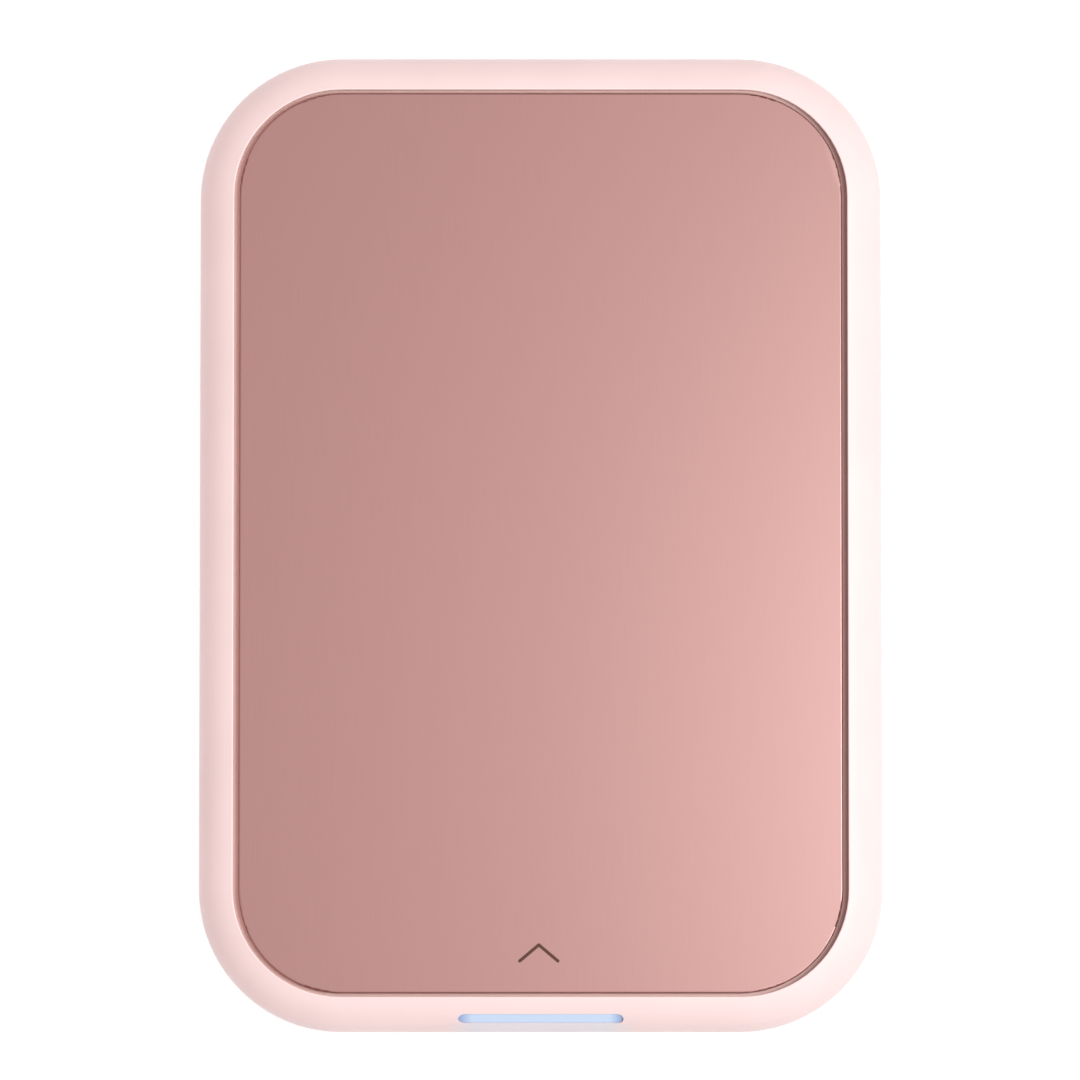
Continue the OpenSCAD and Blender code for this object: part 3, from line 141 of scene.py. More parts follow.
class Finish:
    """A material with one Principled shader, and the patterns that drive it."""

    def __init__(self, name, colour, roughness, metallic=0.0, **sockets):
        self.material = bpy.data.materials.new(name)
        self.material.use_nodes = True
        self.tree = self.material.node_tree
        self.shader = self.tree.nodes["Principled BSDF"]
        self.colour = colour
        self.roughness = roughness
        self.shader.inputs["Base Color"].default_value = colour
        self.shader.inputs["Roughness"].default_value = roughness
        self.shader.inputs["Metallic"].default_value = metallic
        for socket, value in sockets.items():
            self.shader.inputs[socket.replace("_", " ")].default_value = value
        self.places = self.add("ShaderNodeTexCoord").outputs["Object"]
        self.height = None

    def add(self, kind, **settings):
        node = self.tree.nodes.new(kind)
        for key, value in settings.items():
            setattr(node, key, value)
        return node

    def link(self, source, target):
        self.tree.links.new(source, target)

    def wired(self, node, inputs):
        """The node, with its inputs linked or set in order."""
        for socket, value in zip(node.inputs, inputs):
            if hasattr(value, "is_linked"):
                self.link(value, socket)
            else:
                socket.default_value = value
        return node

    def maths(self, operation, *inputs):
        return self.wired(self.add("ShaderNodeMath", operation=operation), inputs).outputs[0]

    def vector_maths(self, operation, *inputs):
        node = self.wired(self.add("ShaderNodeVectorMath", operation=operation), inputs)
        return node.outputs["Value" if operation == "LENGTH" else "Vector"]

    def split(self, vector):
        """X, Y and Z of a vector."""
        return self.wired(self.add("ShaderNodeSeparateXYZ"), [vector]).outputs

    def stretched(self, scale, turn=(0, 0, 0)):
        """Object coordinates turned, then scaled along each axis."""
        mapping = self.add("ShaderNodeMapping")
        mapping.inputs["Rotation"].default_value = turn
        mapping.inputs["Scale"].default_value = scale
        self.link(self.places, mapping.inputs["Vector"])
        return mapping.outputs["Vector"]

    def noise(self, size, detail=3.0, rough=0.5, stretch=(1, 1, 1)):
        """Noise whose blotches are about size metres wide, longer where stretch is above 1."""
        texture = self.add("ShaderNodeTexNoise")
        texture.inputs["Scale"].default_value = 1.0
        texture.inputs["Detail"].default_value = detail
        texture.inputs["Roughness"].default_value = rough
        self.link(self.stretched([1 / size / s for s in stretch]), texture.inputs["Vector"])
        return texture.outputs["Fac"]

    def band(self, source, low, high, to_low, to_high):
        """The source from low to high, spread over to_low to to_high."""
        node = self.add("ShaderNodeMapRange")
        limits = {"From Min": low, "From Max": high, "To Min": to_low, "To Max": to_high}
        for socket, value in limits.items():
            node.inputs[socket].default_value = value
        self.link(source, node.inputs["Value"])
        return node.outputs["Result"]

    def tint(self, source, dark, light, low=0.3, high=0.7):
        """Base colour from dark to light, as the source goes from low to high."""
        ramp = self.add("ShaderNodeValToRGB")
        ramp.color_ramp.elements[0].position = low
        ramp.color_ramp.elements[1].position = high
        ramp.color_ramp.elements[0].color = dark
        ramp.color_ramp.elements[1].color = light
        self.link(source, ramp.inputs["Fac"])
        self.link(ramp.outputs["Color"], self.shader.inputs["Base Color"])
        return ramp.outputs["Color"]

    def mottle(self, source, amount):
        """Base colour a little darker and lighter with the source."""
        return self.tint(source, scaled(self.colour, 1 - amount), scaled(self.colour, 1 + amount))

    def vary_gloss(self, source, amount):
        """Roughness that wanders by amount each way with the source."""
        result = self.band(source, 0.3, 0.7, self.roughness - amount, self.roughness + amount)
        self.link(result, self.shader.inputs["Roughness"])

    def relief(self, source, depth, strength=1.0):
        """Adds a bump of that depth in metres, on top of any bump there is."""
        bump = self.add("ShaderNodeBump")
        bump.inputs["Distance"].default_value = depth
        bump.inputs["Strength"].default_value = strength
        self.link(source, bump.inputs["Height"])
        if self.height:
            self.link(self.height, bump.inputs["Normal"])
        self.height = bump.outputs["Normal"]
        self.link(self.height, self.shader.inputs["Normal"])


def moulded(name, colour, roughness, grain=0.25 * MM, depth=0.004 * MM, **sockets):
    """Injection moulding: a fine spark-eroded grain over faint flow mottling."""
    finish = Finish(name, colour, roughness, **sockets)
    finish.mottle(finish.noise(9 * MM, 2), 0.018)
    finish.vary_gloss(finish.noise(1.6 * MM), 0.04)
    finish.relief(finish.noise(grain, 2, 0.6), depth)
    return finish


def drawn_metal(name, colour, roughness, along, grain=0.05 * MM, length=60, depth=0.0012 * MM, **sockets):
    """Metal with fine lines along one axis: hairlines in colour, gloss and relief."""
    finish = Finish(name, colour, roughness, 1.0, **sockets)
    stretch = [length if axis == along else 1 for axis in "xyz"]
    lines = finish.noise(grain, 3, 0.65, stretch)
    finish.mottle(finish.noise(grain * 3, 3, 0.7, stretch), 0.05)
    finish.vary_gloss(lines, 0.06)
    finish.relief(lines, depth)
    return finish


def rubber(name, colour, roughness=0.75, grain=0.12 * MM, depth=0.008 * MM):
    """Ground rubber: matt, with fine pits and a dusty bloom."""
    finish = Finish(name, colour, roughness)
    finish.mottle(finish.noise(1.2 * MM, 4), 0.16)
    finish.vary_gloss(finish.noise(0.7 * MM), 0.06)
    finish.relief(finish.noise(grain, 3, 0.7), depth)
    return finish


# ---------- finishes ----------

CASE = srgb(248, 212, 210)
RECESS_CORNER = (24.5 * MM, 42.5 * MM, 1.0)  # centre of the recess's corner rounds; Z doesn't count
RECESS_CORNER_R = 13.2 * MM
GAP_PAINTED_SHADE_LEFT = (0.08, 0.2, 0.26, 1)  # painted shade: how much of the red, green and blue the gap's floor loses
GAP_PAINTED_SHADE_RIGHT = (0.5, 0.63, 0.66, 1)
# Painted light: a bluish tint and glow on the case at and below the light window, as if lit by the lamp
# behind it.
PAINTED_GLOW_TINT = (0.84, 0.98, 1, 1)
PAINTED_GLOW_COLOUR = (0.1, 0.5, 1, 1)
PAINTED_GLOW_STRENGTH = 0.07
PLAIN = (1, 1, 1, 1)


def in_gap(finish, z):
    """1 on the floor of the recess that holds the plate, and 0 elsewhere."""
    folded = finish.vector_maths("ABSOLUTE", finish.places)
    past_corner = finish.vector_maths("SUBTRACT", folded, RECESS_CORNER)
    outward = finish.vector_maths("MAXIMUM", past_corner, (0, 0, 0))
    inside = finish.maths("LESS_THAN", finish.vector_maths("LENGTH", outward), RECESS_CORNER_R)
    level = finish.maths("COMPARE", z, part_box("plate_tape")[0][2], 0.3 * MM)
    return finish.maths("MULTIPLY", inside, level)


def below_window(finish, x, y, z):
    """1 on the front of the case at the light window and just below it, and 0 elsewhere: where the painted
    glow goes.
    """
    low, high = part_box("led_lens")
    beside = finish.band(finish.maths("ABSOLUTE", x), high[0] - 1.5 * MM, high[0] + 1.5 * MM, 1, 0)
    before = finish.band(y, low[1] - 0.3 * MM, low[1] + 0.2 * MM, 1, 0)
    above = finish.band(z, high[2] - 6 * MM, high[2] - 4 * MM, 0, 1)
    return finish.maths("MULTIPLY", finish.maths("MULTIPLY", beside, before), above)


def case_finish():
    """Pale pink moulding, with painted shade on the floor of the gap around the plate and a painted bluish
    glow on the case at and below the light window.
    """
    finish = moulded("case_plastic", CASE, 0.42, grain=0.16 * MM, depth=0.0022 * MM)
    mottled = finish.shader.inputs["Base Color"].links[0].from_socket
    x, y, z = finish.split(finish.places)
    # Painted shade: the floor of the gap around the plate is darkened, a little on the left, top and bottom
    # and most on the right.
    across = finish.band(x, 26 * MM, 37 * MM, 0, 1)
    painted_gap_shade = finish.tint(across, GAP_PAINTED_SHADE_LEFT, GAP_PAINTED_SHADE_RIGHT, 0, 1)
    painted_gap_shade = finish.vector_maths("MULTIPLY", painted_gap_shade, in_gap(finish, z))
    painted_shade_colour = finish.vector_maths("MULTIPLY", mottled, finish.vector_maths("SUBTRACT", PLAIN[:3], painted_gap_shade))
    # Painted light: the case at the light window and below it is tinted blue and made to glow, though it is
    # no lamp.
    painted_glow = below_window(finish, x, y, z)
    painted_glow_tinted = finish.vector_maths("MULTIPLY", painted_shade_colour, finish.tint(painted_glow, PLAIN, PAINTED_GLOW_TINT, 0, 1))
    finish.link(painted_glow_tinted, finish.shader.inputs["Base Color"])
    finish.shader.inputs["Emission Color"].default_value = PAINTED_GLOW_COLOUR
    finish.link(finish.band(painted_glow, 0, 1, 0, PAINTED_GLOW_STRENGTH), finish.shader.inputs["Emission Strength"])
    return finish


def plate_finish():
    """Anodised aluminium, satin brushed along the plate."""
    finish = Finish("cover_metal", srgb(172, 127, 123), 0.39, 1.0)
    stretch = (1, 70, 1)
    lines = finish.noise(0.045 * MM, 3, 0.6, stretch)
    finish.mottle(finish.noise(0.12 * MM, 3, 0.6, stretch), 0.016)
    finish.vary_gloss(lines, 0.02)
    finish.relief(lines, 0.0005 * MM)
    return finish


def lens_finish():
    """Frosted window with a cool glow that dims towards its two ends."""
    finish = Finish("lens", srgb(196, 214, 240), 0.35, IOR=1.49)
    from_middle = finish.maths("ABSOLUTE", finish.split(finish.places)["X"])
    share = finish.band(from_middle, 0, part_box("led_lens")[1][0], 1, 0)
    colour = finish.tint(share, srgb(144, 162, 204), srgb(194, 206, 230), 0.02, 0.16)
    finish.link(colour, finish.shader.inputs["Emission Color"])
    finish.shader.inputs["Emission Strength"].default_value = 0.1
    finish.relief(finish.noise(0.08 * MM), 0.001 * MM)
    return finish


def board_finish():
    """Green solder mask over copper tracks: the tracks show as a paler, raised maze."""
    finish = Finish("board_green", srgb(14, 92, 54), 0.32, Coat_Weight=0.4)
    tracks = finish.add("ShaderNodeTexBrick", offset=0.5, squash=1.0)
    tracks.inputs["Scale"].default_value = 1.0
    tracks.inputs["Mortar Size"].default_value = 0.09
    tracks.inputs["Brick Width"].default_value = 2.1
    tracks.inputs["Row Height"].default_value = 0.62
    finish.link(finish.stretched([1 / MM] * 3), tracks.inputs["Vector"])
    finish.tint(tracks.outputs["Fac"], srgb(12, 84, 48), srgb(34, 122, 70), 0.2, 0.8)
    finish.relief(tracks.outputs["Fac"], 0.02 * MM)
    return finish


def pouch_finish():
    """Laminated foil with soft crinkles."""
    finish = Finish("cell_pouch", srgb(206, 209, 214), 0.36, 0.85)
    finish.mottle(finish.noise(6 * MM, 3), 0.04)
    finish.relief(finish.noise(5 * MM, 2, 0.4), 0.05 * MM)
    finish.relief(finish.noise(0.4 * MM), 0.006 * MM)
    return finish


RIBBON_FOLD_Z = 10.3 * MM  # above it the conductors run along X
CONDUCTOR_PITCH = 0.5 * MM


def ribbon_finish():
    """Amber film over copper conductors: they run along X on top, then along Y at the side."""
    finish = Finish("ribbon_film", srgb(206, 132, 48), 0.28)
    where = finish.split(finish.places)
    on_top = finish.maths("GREATER_THAN", where["Z"], RIBBON_FOLD_Z)
    across = finish.wired(finish.add("ShaderNodeMix"), [on_top])
    finish.link(where["Z"], across.inputs["A"])
    finish.link(where["Y"], across.inputs["B"])
    wave = finish.maths("PINGPONG", across.outputs["Result"], CONDUCTOR_PITCH / 2)
    stripe = finish.band(wave, 0.36 * CONDUCTOR_PITCH / 2, 0.64 * CONDUCTOR_PITCH / 2, 0, 1)
    finish.tint(stripe, srgb(222, 160, 78), srgb(178, 98, 36), 0.1, 0.9)
    finish.relief(stripe, 0.012 * MM)
    return finish


FINISHES = {
    "case_plastic": case_finish(),
    "cover_metal": plate_finish(),
    "adhesive": moulded("adhesive", srgb(236, 236, 228), 0.7),
    "lens": lens_finish(),
    "frame_plastic": moulded("frame_plastic", srgb(40, 40, 43), 0.55, depth=0.008 * MM),
    "steel_sheet": drawn_metal("steel_sheet", srgb(196, 198, 202), 0.34, "x"),
    "steel_bar": drawn_metal("steel_bar", srgb(214, 215, 219), 0.2, "y", length=30),
    "spring_wire": drawn_metal("spring_wire", srgb(208, 210, 214), 0.26, "x", length=6),
    "screw_steel": drawn_metal("screw_steel", srgb(150, 150, 156), 0.34, "z", length=4),
    "magnet": drawn_metal("magnet", srgb(206, 207, 211), 0.18, "x", length=3),
    "roller_rubber": rubber("roller_rubber", srgb(42, 42, 44)),
    "tyre_rubber": rubber("tyre_rubber", srgb(74, 74, 77)),
    "foot_rubber": rubber("foot_rubber", srgb(104, 99, 99)),
    "gear_plastic": moulded("gear_plastic", srgb(234, 230, 214), 0.42, grain=0.3 * MM, depth=0.002 * MM),
    "bush_plastic": moulded("bush_plastic", srgb(206, 190, 160), 0.5),
    "pinion_brass": drawn_metal("pinion_brass", srgb(206, 170, 98), 0.25, "x"),
    "motor_can": drawn_metal("motor_can", srgb(196, 197, 201), 0.28, "y", length=40),
    "heat_sink": drawn_metal("heat_sink", srgb(204, 206, 210), 0.38, "x"),
    "ceramic": moulded("ceramic", srgb(236, 238, 233), 0.3, depth=0.001 * MM),
    "pinch_plastic": moulded("pinch_plastic", srgb(222, 222, 218), 0.45),
    "press_plastic": moulded("press_plastic", srgb(50, 50, 53), 0.4),
    "ribbon_film": ribbon_finish(),
    "wire_red": moulded("wire_red", srgb(176, 34, 30), 0.4),
    "wire_black": moulded("wire_black", srgb(34, 34, 36), 0.42),
    "wire_blue": moulded("wire_blue", srgb(38, 58, 140), 0.4),
    "cell_pouch": pouch_finish(),
    "board_green": board_finish(),
    "chip_black": moulded("chip_black", srgb(44, 44, 47), 0.5),
    "shell_steel": drawn_metal("shell_steel", srgb(206, 208, 212), 0.26, "y"),
    "switch_black": moulded("switch_black", srgb(48, 48, 51), 0.5),
    "lamp": moulded("lamp", srgb(244, 240, 206), 0.3),
    "tape_amber": moulded("tape_amber", srgb(208, 146, 54), 0.3),
    "chevron_paint": moulded("chevron_paint", srgb(95, 56, 50), 0.5, depth=0.002 * MM,
                             Specular_IOR_Level=0.2),
}
SLOTS = {part["node"]: part["material_slot"] for part in frame["record"]["subparts"]}

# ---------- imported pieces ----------


def clean_edges():
    """Node group that welds a mesh's faces and keeps an edge sharp past 30 degrees."""
    group = bpy.data.node_groups.new("clean_edges", "GeometryNodeTree")
    group.interface.new_socket("Geometry", in_out="INPUT", socket_type="NodeSocketGeometry")
    group.interface.new_socket("Geometry", in_out="OUTPUT", socket_type="NodeSocketGeometry")
    start = group.nodes.new("NodeGroupInput")
    end = group.nodes.new("NodeGroupOutput")
    weld = group.nodes.new("GeometryNodeMergeByDistance")
    weld.inputs["Distance"].default_value = 1e-6
    angle = group.nodes.new("GeometryNodeInputMeshEdgeAngle")
    sharp = group.nodes.new("FunctionNodeCompare")
    sharp.inputs["B"].default_value = math.radians(30)
    normals = group.nodes.new("GeometryNodeSetMeshNormal")
    normals.inputs["Remove Custom"].default_value = True
    group.links.new(start.outputs[0], weld.inputs["Geometry"])
    group.links.new(weld.outputs["Geometry"], normals.inputs["Mesh"])
    group.links.new(angle.outputs["Unsigned Angle"], sharp.inputs["A"])
    group.links.new(sharp.outputs["Result"], normals.inputs["Edge Sharpness"])
    group.links.new(normals.outputs["Mesh"], end.inputs[0])
    return group


CLEAN = clean_edges()


def dress(name):
    """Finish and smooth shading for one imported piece."""
    piece = nodes[name]
    piece.data.materials.clear()
    piece.data.materials.append(FINISHES[SLOTS[name]].material)
    clean = piece.modifiers.new("clean", "NODES")
    clean.node_group = CLEAN
    weighted = piece.modifiers.new("weighted", "WEIGHTED_NORMAL")
    weighted.keep_sharp = True
    weighted.mode = "FACE_AREA"


for node in nodes:
    dress(node)

# ---------- shapes for the small pieces ----------

ALONG_X = Matrix.Rotation(math.radians(90), 4, "Y")  # turns +Z into +X
TURNED_OVER = Matrix.Rotation(math.radians(180), 4, "X")
DOME = (0.35, 0.6)  # a bar's end ring: how far beyond the end and how wide, as shares of the bar's radius
THREAD_ROWS = 5  # rows of points a turn
COIL_STEPS = 30  # points a turn
BEND_STEPS = 6  # parts of a curve at a bend
TYRE_SIDES = 144
RIB, GROOVE = 4, 2  # sides of a tyre in each rib and in each groove
CROSS_REACH, CROSS_HALF, CROSS_DEPTH = 0.6, 0.16, 0.7  # a screw's recess, as shares of its head
HEAD_DOME = ((0.76, 0), (0.9, 0.14), (0.98, 0.38), (1, 0.66), (1, 1))  # radius and height, as shares too
THREAD_PITCH, THREAD_DEPTH = 0.5, 0.16  # as shares of the shank's radius


def around(sides):
    """Angles of evenly spread points on a circle."""
    return [2 * math.pi * j / sides for j in range(sides)]


class Shape:
    """Mesh under construction, in millimetres."""

    def __init__(self):
        self.mesh = bmesh.new()

    def ring(self, points, place=Matrix()):
        return [self.mesh.verts.new(place @ Vector(p)) for p in points]

    def skin(self, rings, closed=False):
        """Quads between rings of equal length; closed joins the last ring to the first."""
        last = len(rings) if closed else len(rings) - 1
        for i in range(last):
            low, high = rings[i], rings[(i + 1) % len(rings)]
            for j in range(len(low)):
                k = (j + 1) % len(low)
                self.mesh.faces.new((low[j], low[k], high[k], high[j]))

    def cap(self, ring, flip=False):
        self.mesh.faces.new(ring[::-1] if flip else ring)

    def closed_bar(self, rings):
        """Skin over the rings, with both ends closed."""
        self.skin(rings)
        self.cap(rings[0], flip=True)
        self.cap(rings[-1])

    def circles(self, profile, place, sides):
        """A ring about Z for each (radius, height) of a profile."""
        return [self.ring([(r * math.cos(a), r * math.sin(a), z) for a in around(sides)], place)
                for r, z in profile]

    def lathe(self, profile, place=Matrix(), sides=40):
        """Profile of (radius, height) turned about Z, with both ends closed."""
        self.closed_bar(self.circles(profile, place, sides))

    def turned(self, profile, place=Matrix(), sides=40):
        """Closed profile of (radius, height) turned about Z: a ring with a bore."""
        self.skin(self.circles(profile, place, sides), closed=True)

    def prism(self, outline, low, high, place=Matrix()):
        """Outline extruded from low to high."""
        self.closed_bar([self.ring([(*p, z) for p in outline], place) for z in (low, high)])

    def slab(self, low, high, edge=0.1, segments=2):
        """Box with rounded edges."""
        low, high = Vector(low), Vector(high)
        made = bmesh.ops.create_cube(self.mesh, size=1)["verts"]
        size = high - low
        for vert in made:
            vert.co = Vector([low[i] + (vert.co[i] + 0.5) * size[i] for i in range(3)])
        edges = list({e for vert in made for e in vert.link_edges})
        bmesh.ops.bevel(self.mesh, geom=edges, offset=edge, segments=segments, affect="EDGES", profile=0.5)

    def sweep(self, path, radius, sides=10):
        """Round bar along a path of points, with domed ends."""
        path = [Vector(p) for p in path]
        side = None
        rings = []
        for i, point in enumerate(path):
            along = (path[min(i + 1, len(path) - 1)] - path[max(i - 1, 0)]).normalized()
            if side is None:
                side = along.orthogonal().normalized()
            side = (side - along * side.dot(along)).normalized()
            other = along.cross(side)
            rows = [(0, 1)]
            if i == 0:
                rows = [(-DOME[0], DOME[1]), (0, 1)]
            if i == len(path) - 1:
                rows = [(0, 1), DOME]
            for shift, share in rows:
                centre = point + along * shift * radius
                reach = share * radius
                rings.append(self.ring([centre + reach * (math.cos(a) * side + math.sin(a) * other)
                                        for a in around(sides)]))
        self.closed_bar(rings)

    def thread(self, radius, low, high, pitch, depth, place=Matrix(), sides=20):
        """Screw thread about Z: the radius swells once a turn."""
        rows = int((high - low) / pitch * THREAD_ROWS)
        rings = []
        for i in range(rows + 1):
            z = low + (high - low) * i / rows
            ring = []
            for j, a in enumerate(around(sides)):
                phase = (z / pitch - j / sides) % 1
                swell = 1 - abs(2 * phase - 1)
                fade = min(1, (high - z) / pitch, (z - low) / pitch * 2)
                r = radius - depth * (1 - swell * fade)
                ring.append((r * math.cos(a), r * math.sin(a), z))
            rings.append(self.ring(ring, place))
        self.closed_bar(rings)

    def cross_screw(self, place, head_r, head_h, shank_r, length):
        """Threaded screw along +Z, from the cross recess in its domed head at the origin."""
        reach, half = CROSS_REACH * head_r, CROSS_HALF * head_r
        corner = math.atan2(half, reach)
        steps = [-corner, -corner / 2, 0, corner / 2]
        steps += [corner + (math.pi / 4 - corner) * k / 3 for k in range(6)]
        angles = [quarter * math.pi / 2 + step for quarter in range(4) for step in steps]

        def cross(angle):
            across, up = max(abs(math.cos(angle)), 1e-6), max(abs(math.sin(angle)), 1e-6)
            return max(min(reach / across, half / up), min(reach / up, half / across))

        rows = [[(CROSS_DEPTH * cross(a), CROSS_DEPTH * head_h) for a in angles],
                [(cross(a), 0) for a in angles]]
        for radius, height in HEAD_DOME:
            rows.append([(radius * head_r, height * head_h)] * len(angles))
        rows.append([(shank_r, head_h)] * len(angles))
        rings = []
        for row in rows:
            points = [(r * math.cos(a), r * math.sin(a), z) for a, (r, z) in zip(angles, row)]
            rings.append(self.ring(points, place))
        self.skin(rings)
        self.cap(rings[0])
        self.cap(rings[-1], flip=True)
        self.thread(shank_r, head_h, length, THREAD_PITCH * shank_r, THREAD_DEPTH * shank_r, place)

    def spring(self, low, high, wire_r, turns, taper):
        """Coil between two corners of its box, with flat end turns and its upper end tapered."""
        centre = (low + high) / 2
        start = (high.x - low.x) / 2 - wire_r
        count = COIL_STEPS * turns
        path = []
        for i in range(count + 1):
            turn = i / COIL_STEPS
            rise = min(1, max(0, (turn - 0.4) / (turns - 0.8)))
            radius = start - taper * turn / turns
            angle = 2 * math.pi * turn
            z = low.z + wire_r + (high.z - low.z - 2 * wire_r) * rise
            path.append((centre.x + radius * math.cos(angle), centre.y + radius * math.sin(angle), z))
        self.sweep(path, wire_r)

    def tyre(self, low, high, bore, depth):
        """Ribbed rubber tyre along X, between two corners of its box."""
        middle = (low + high) / 2
        radius = (high.z - low.z) / 2
        edge = 0.2
        ribbed = [radius - depth * (j % (RIB + GROOVE) >= RIB) for j in range(TYRE_SIDES)]
        narrow = [r - edge for r in ribbed]
        inner = [bore] * TYRE_SIDES
        rings = []
        for x, radii in ((low.x, inner), (low.x, narrow), (low.x + edge, ribbed),
                         (high.x - edge, ribbed), (high.x, narrow), (high.x, inner)):
            rings.append(self.ring([(x, middle.y + r * math.cos(a), middle.z + r * math.sin(a))
                                    for r, a in zip(radii, around(TYRE_SIDES))]))
        self.skin(rings, closed=True)


def bent(points, radius=1.6):
    """Path through the points, with its corners turned into curves."""
    points = [Vector(p) for p in points]
    path = [points[0]]
    for before, corner, after in zip(points, points[1:], points[2:]):
        a = corner + (before - corner).normalized() * min(radius, 0.45 * (before - corner).length)
        b = corner + (after - corner).normalized() * min(radius, 0.45 * (after - corner).length)
        for k in range(BEND_STEPS + 1):
            t = k / BEND_STEPS
            path.append(a * (1 - t) ** 2 + corner * 2 * t * (1 - t) + b * t * t)
    return path + [points[-1]]


def strip(points, thick):
    """Outline of a strip of that thickness, to the left of a path in a plane."""
    left = []
    for i, point in enumerate(points):
        along = (points[min(i + 1, len(points) - 1)] - points[max(i - 1, 0)]).normalized()
        left.append((point.x - along.y * thick, point.y + along.x * thick))
    return [(p.x, p.y) for p in points] + left[::-1]


def put(name, shape, finish, body=None, replaced=None, blend=None):
    """Finished piece that rides on a body, or on the replaced node's, or is bent between two."""
    bmesh.ops.recalc_face_normals(shape.mesh, faces=shape.mesh.faces)
    shape.mesh.transform(Matrix.Scale(MM, 4))
    data = bpy.data.meshes.new(name)
    shape.mesh.to_mesh(data)
    shape.mesh.free()
    data.materials.append(FINISHES[finish].material)
    piece = bpy.data.objects.new(name, data)
    bpy.context.scene.collection.objects.link(piece)
    clean = piece.modifiers.new("clean", "NODES")
    clean.node_group = CLEAN
    if blend:
        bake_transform(piece, *blend)
    else:
        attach(piece, body or body_of(nodes[replaced])[0])
    if replaced:
        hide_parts(replaced)


def islands(node):
    """Lowest and highest corner, in millimetres, of each separate solid of a node."""
    mesh = bmesh.new()
    mesh.from_mesh(nodes[node].data)
    bmesh.ops.remove_doubles(mesh, verts=mesh.verts, dist=1e-6)
    left = set(mesh.verts)
    boxes = []
    while left:
        stack = [left.pop()]
        group = []
        while stack:
            vert = stack.pop()
            group.append(vert.co / MM)
            for edge in vert.link_edges:
                other = edge.other_vert(vert)
                if other in left:
                    left.remove(other)
                    stack.append(other)
        low = Vector([min(p[i] for p in group) for i in range(3)])
        high = Vector([max(p[i] for p in group) for i in range(3)])
        boxes.append((low, high))
    mesh.free()
    return sorted(boxes, key=lambda box: tuple(round(c, 3) for c in box[0]))


def cad_box(node):
    low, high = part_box(node)
    return low / MM, high / MM


def upright_at(low, high):
    """Places a shape that stands on Z over the middle of a box."""
    return Matrix.Translation(((low.x + high.x) / 2, (low.y + high.y) / 2, 0))


# ---------- chevron, feet, screws ----------

# The chevron's groove in the plate, in millimetres; a slope is in degrees
CHEVRON_X = -0.25
CHEVRON_FROM_EDGE = 5.9  # from the plate's front edge to the apex
CHEVRON_ARM = 3.04
CHEVRON_SLOPE = 40
CHEVRON_DEPTH = 0.12
PAINT_THICK = 0.07
PAINT_R = 0.19  # half the width of the painted line
ARC_STEPS = 8


def chevron():
    """Paint at the bottom of the chevron's groove."""
    low, high = cad_box("cover_plate")
    slope = math.radians(CHEVRON_SLOPE)
    apex = Vector((CHEVRON_X, low.y + CHEVRON_FROM_EDGE))
    right = apex + CHEVRON_ARM * Vector((math.cos(slope), -math.sin(slope)))
    left = apex + CHEVRON_ARM * Vector((-math.cos(slope), -math.sin(slope)))
    turn = 90 + CHEVRON_SLOPE
    outline = []
    arcs = ((right, -turn, 180 - turn), (apex, 180 - turn, turn), (left, turn, 180 + turn))
    for end, first, last in arcs:
        for k in range(ARC_STEPS + 1):
            angle = math.radians(first + (last - first) * k / ARC_STEPS)
            outline.append(end + PAINT_R * Vector((math.cos(angle), math.sin(angle))))
    outline.append(apex - Vector((0, PAINT_R / math.cos(slope))))
    shape = Shape()
    floor_z = high.z - CHEVRON_DEPTH
    shape.prism(outline, floor_z, floor_z + PAINT_THICK)
    put("chevron_detail", shape, "chevron_paint", "lid")


def feet():
    """Rubber feet with a rounded rim around a dished middle."""
    shape = Shape()
    for low, high in islands("rubber_feet"):
        r = (high.x - low.x) / 2
        shape.lathe([(0.4, 0.3), (r - 1.7, 0.26), (r - 1.2, 0.06), (r - 0.9, 0), (r - 0.4, 0),
                     (r - 0.12, 0.1), (r, 0.34), (r, high.z)], upright_at(low, high), 64)
    put("rubber_feet_detail", shape, "foot_rubber", None, "rubber_feet")


def screws(name, head_h, shank_r):
    """Screws with a cross recess, in the place of each plain screw of a node."""
    shape = Shape()
    for low, high in islands(name):
        size = high - low
        axis = max(range(3), key=lambda i: size[i])
        head_r = min(size) / 2
        middle = (low + high) / 2
        start = middle.copy()
        if axis == 0:
            start.x = low.x
            turn = ALONG_X
        elif name == "base_screws":
            start.z = low.z
            turn = Matrix()
        else:
            start.z = high.z
            turn = TURNED_OVER
        shape.cross_screw(Matrix.Translation(start) @ turn, head_r, head_h, shank_r, size[axis])
    put(name + "_detail", shape, "screw_steel", None, name)


chevron()
feet()
screws("base_screws", 0.9, 1.0)
screws("frame_screws", 0.8, 0.8)
screws("board_screws", 0.8, 0.8)

# ---------- springs, rivets, magnets, tyres ----------

TYRE_BORE = 1.57
RIB_DEPTH = 0.22


def springs(node, wire_r, turns, taper, upper, lower):
    """Coils that stretch between the bodies above and below them."""
    for i, (low, high) in enumerate(islands(node)):
        coil = Shape()
        coil.spring(low, high, wire_r, turns, taper)
        x, y = ((low + high) / 2 * MM).xy
        ends = ((x, y, high.z * MM), (x, y, low.z * MM))
        put(f"{node}_detail_{i + 1}", coil, "spring_wire", None, node, (upper, lower, *ends))


def rivets():
    """Rivets with a domed head below and a bevelled end above."""
    shape = Shape()
    for low, high in islands("guide_rivets"):
        r, z = (high.x - low.x) / 2, low.z
        shape.lathe([(0.3 * r, z), (0.6 * r, z + 0.04), (0.85 * r, z + 0.18), (r, z + 0.45), (r, z + 0.7),
                     (r - 0.6, z + 0.7), (r - 0.6, high.z - 0.12), (r - 0.72, high.z)], upright_at(low, high))
    put("guide_rivets_detail", shape, SLOTS["guide_rivets"], None, "guide_rivets")


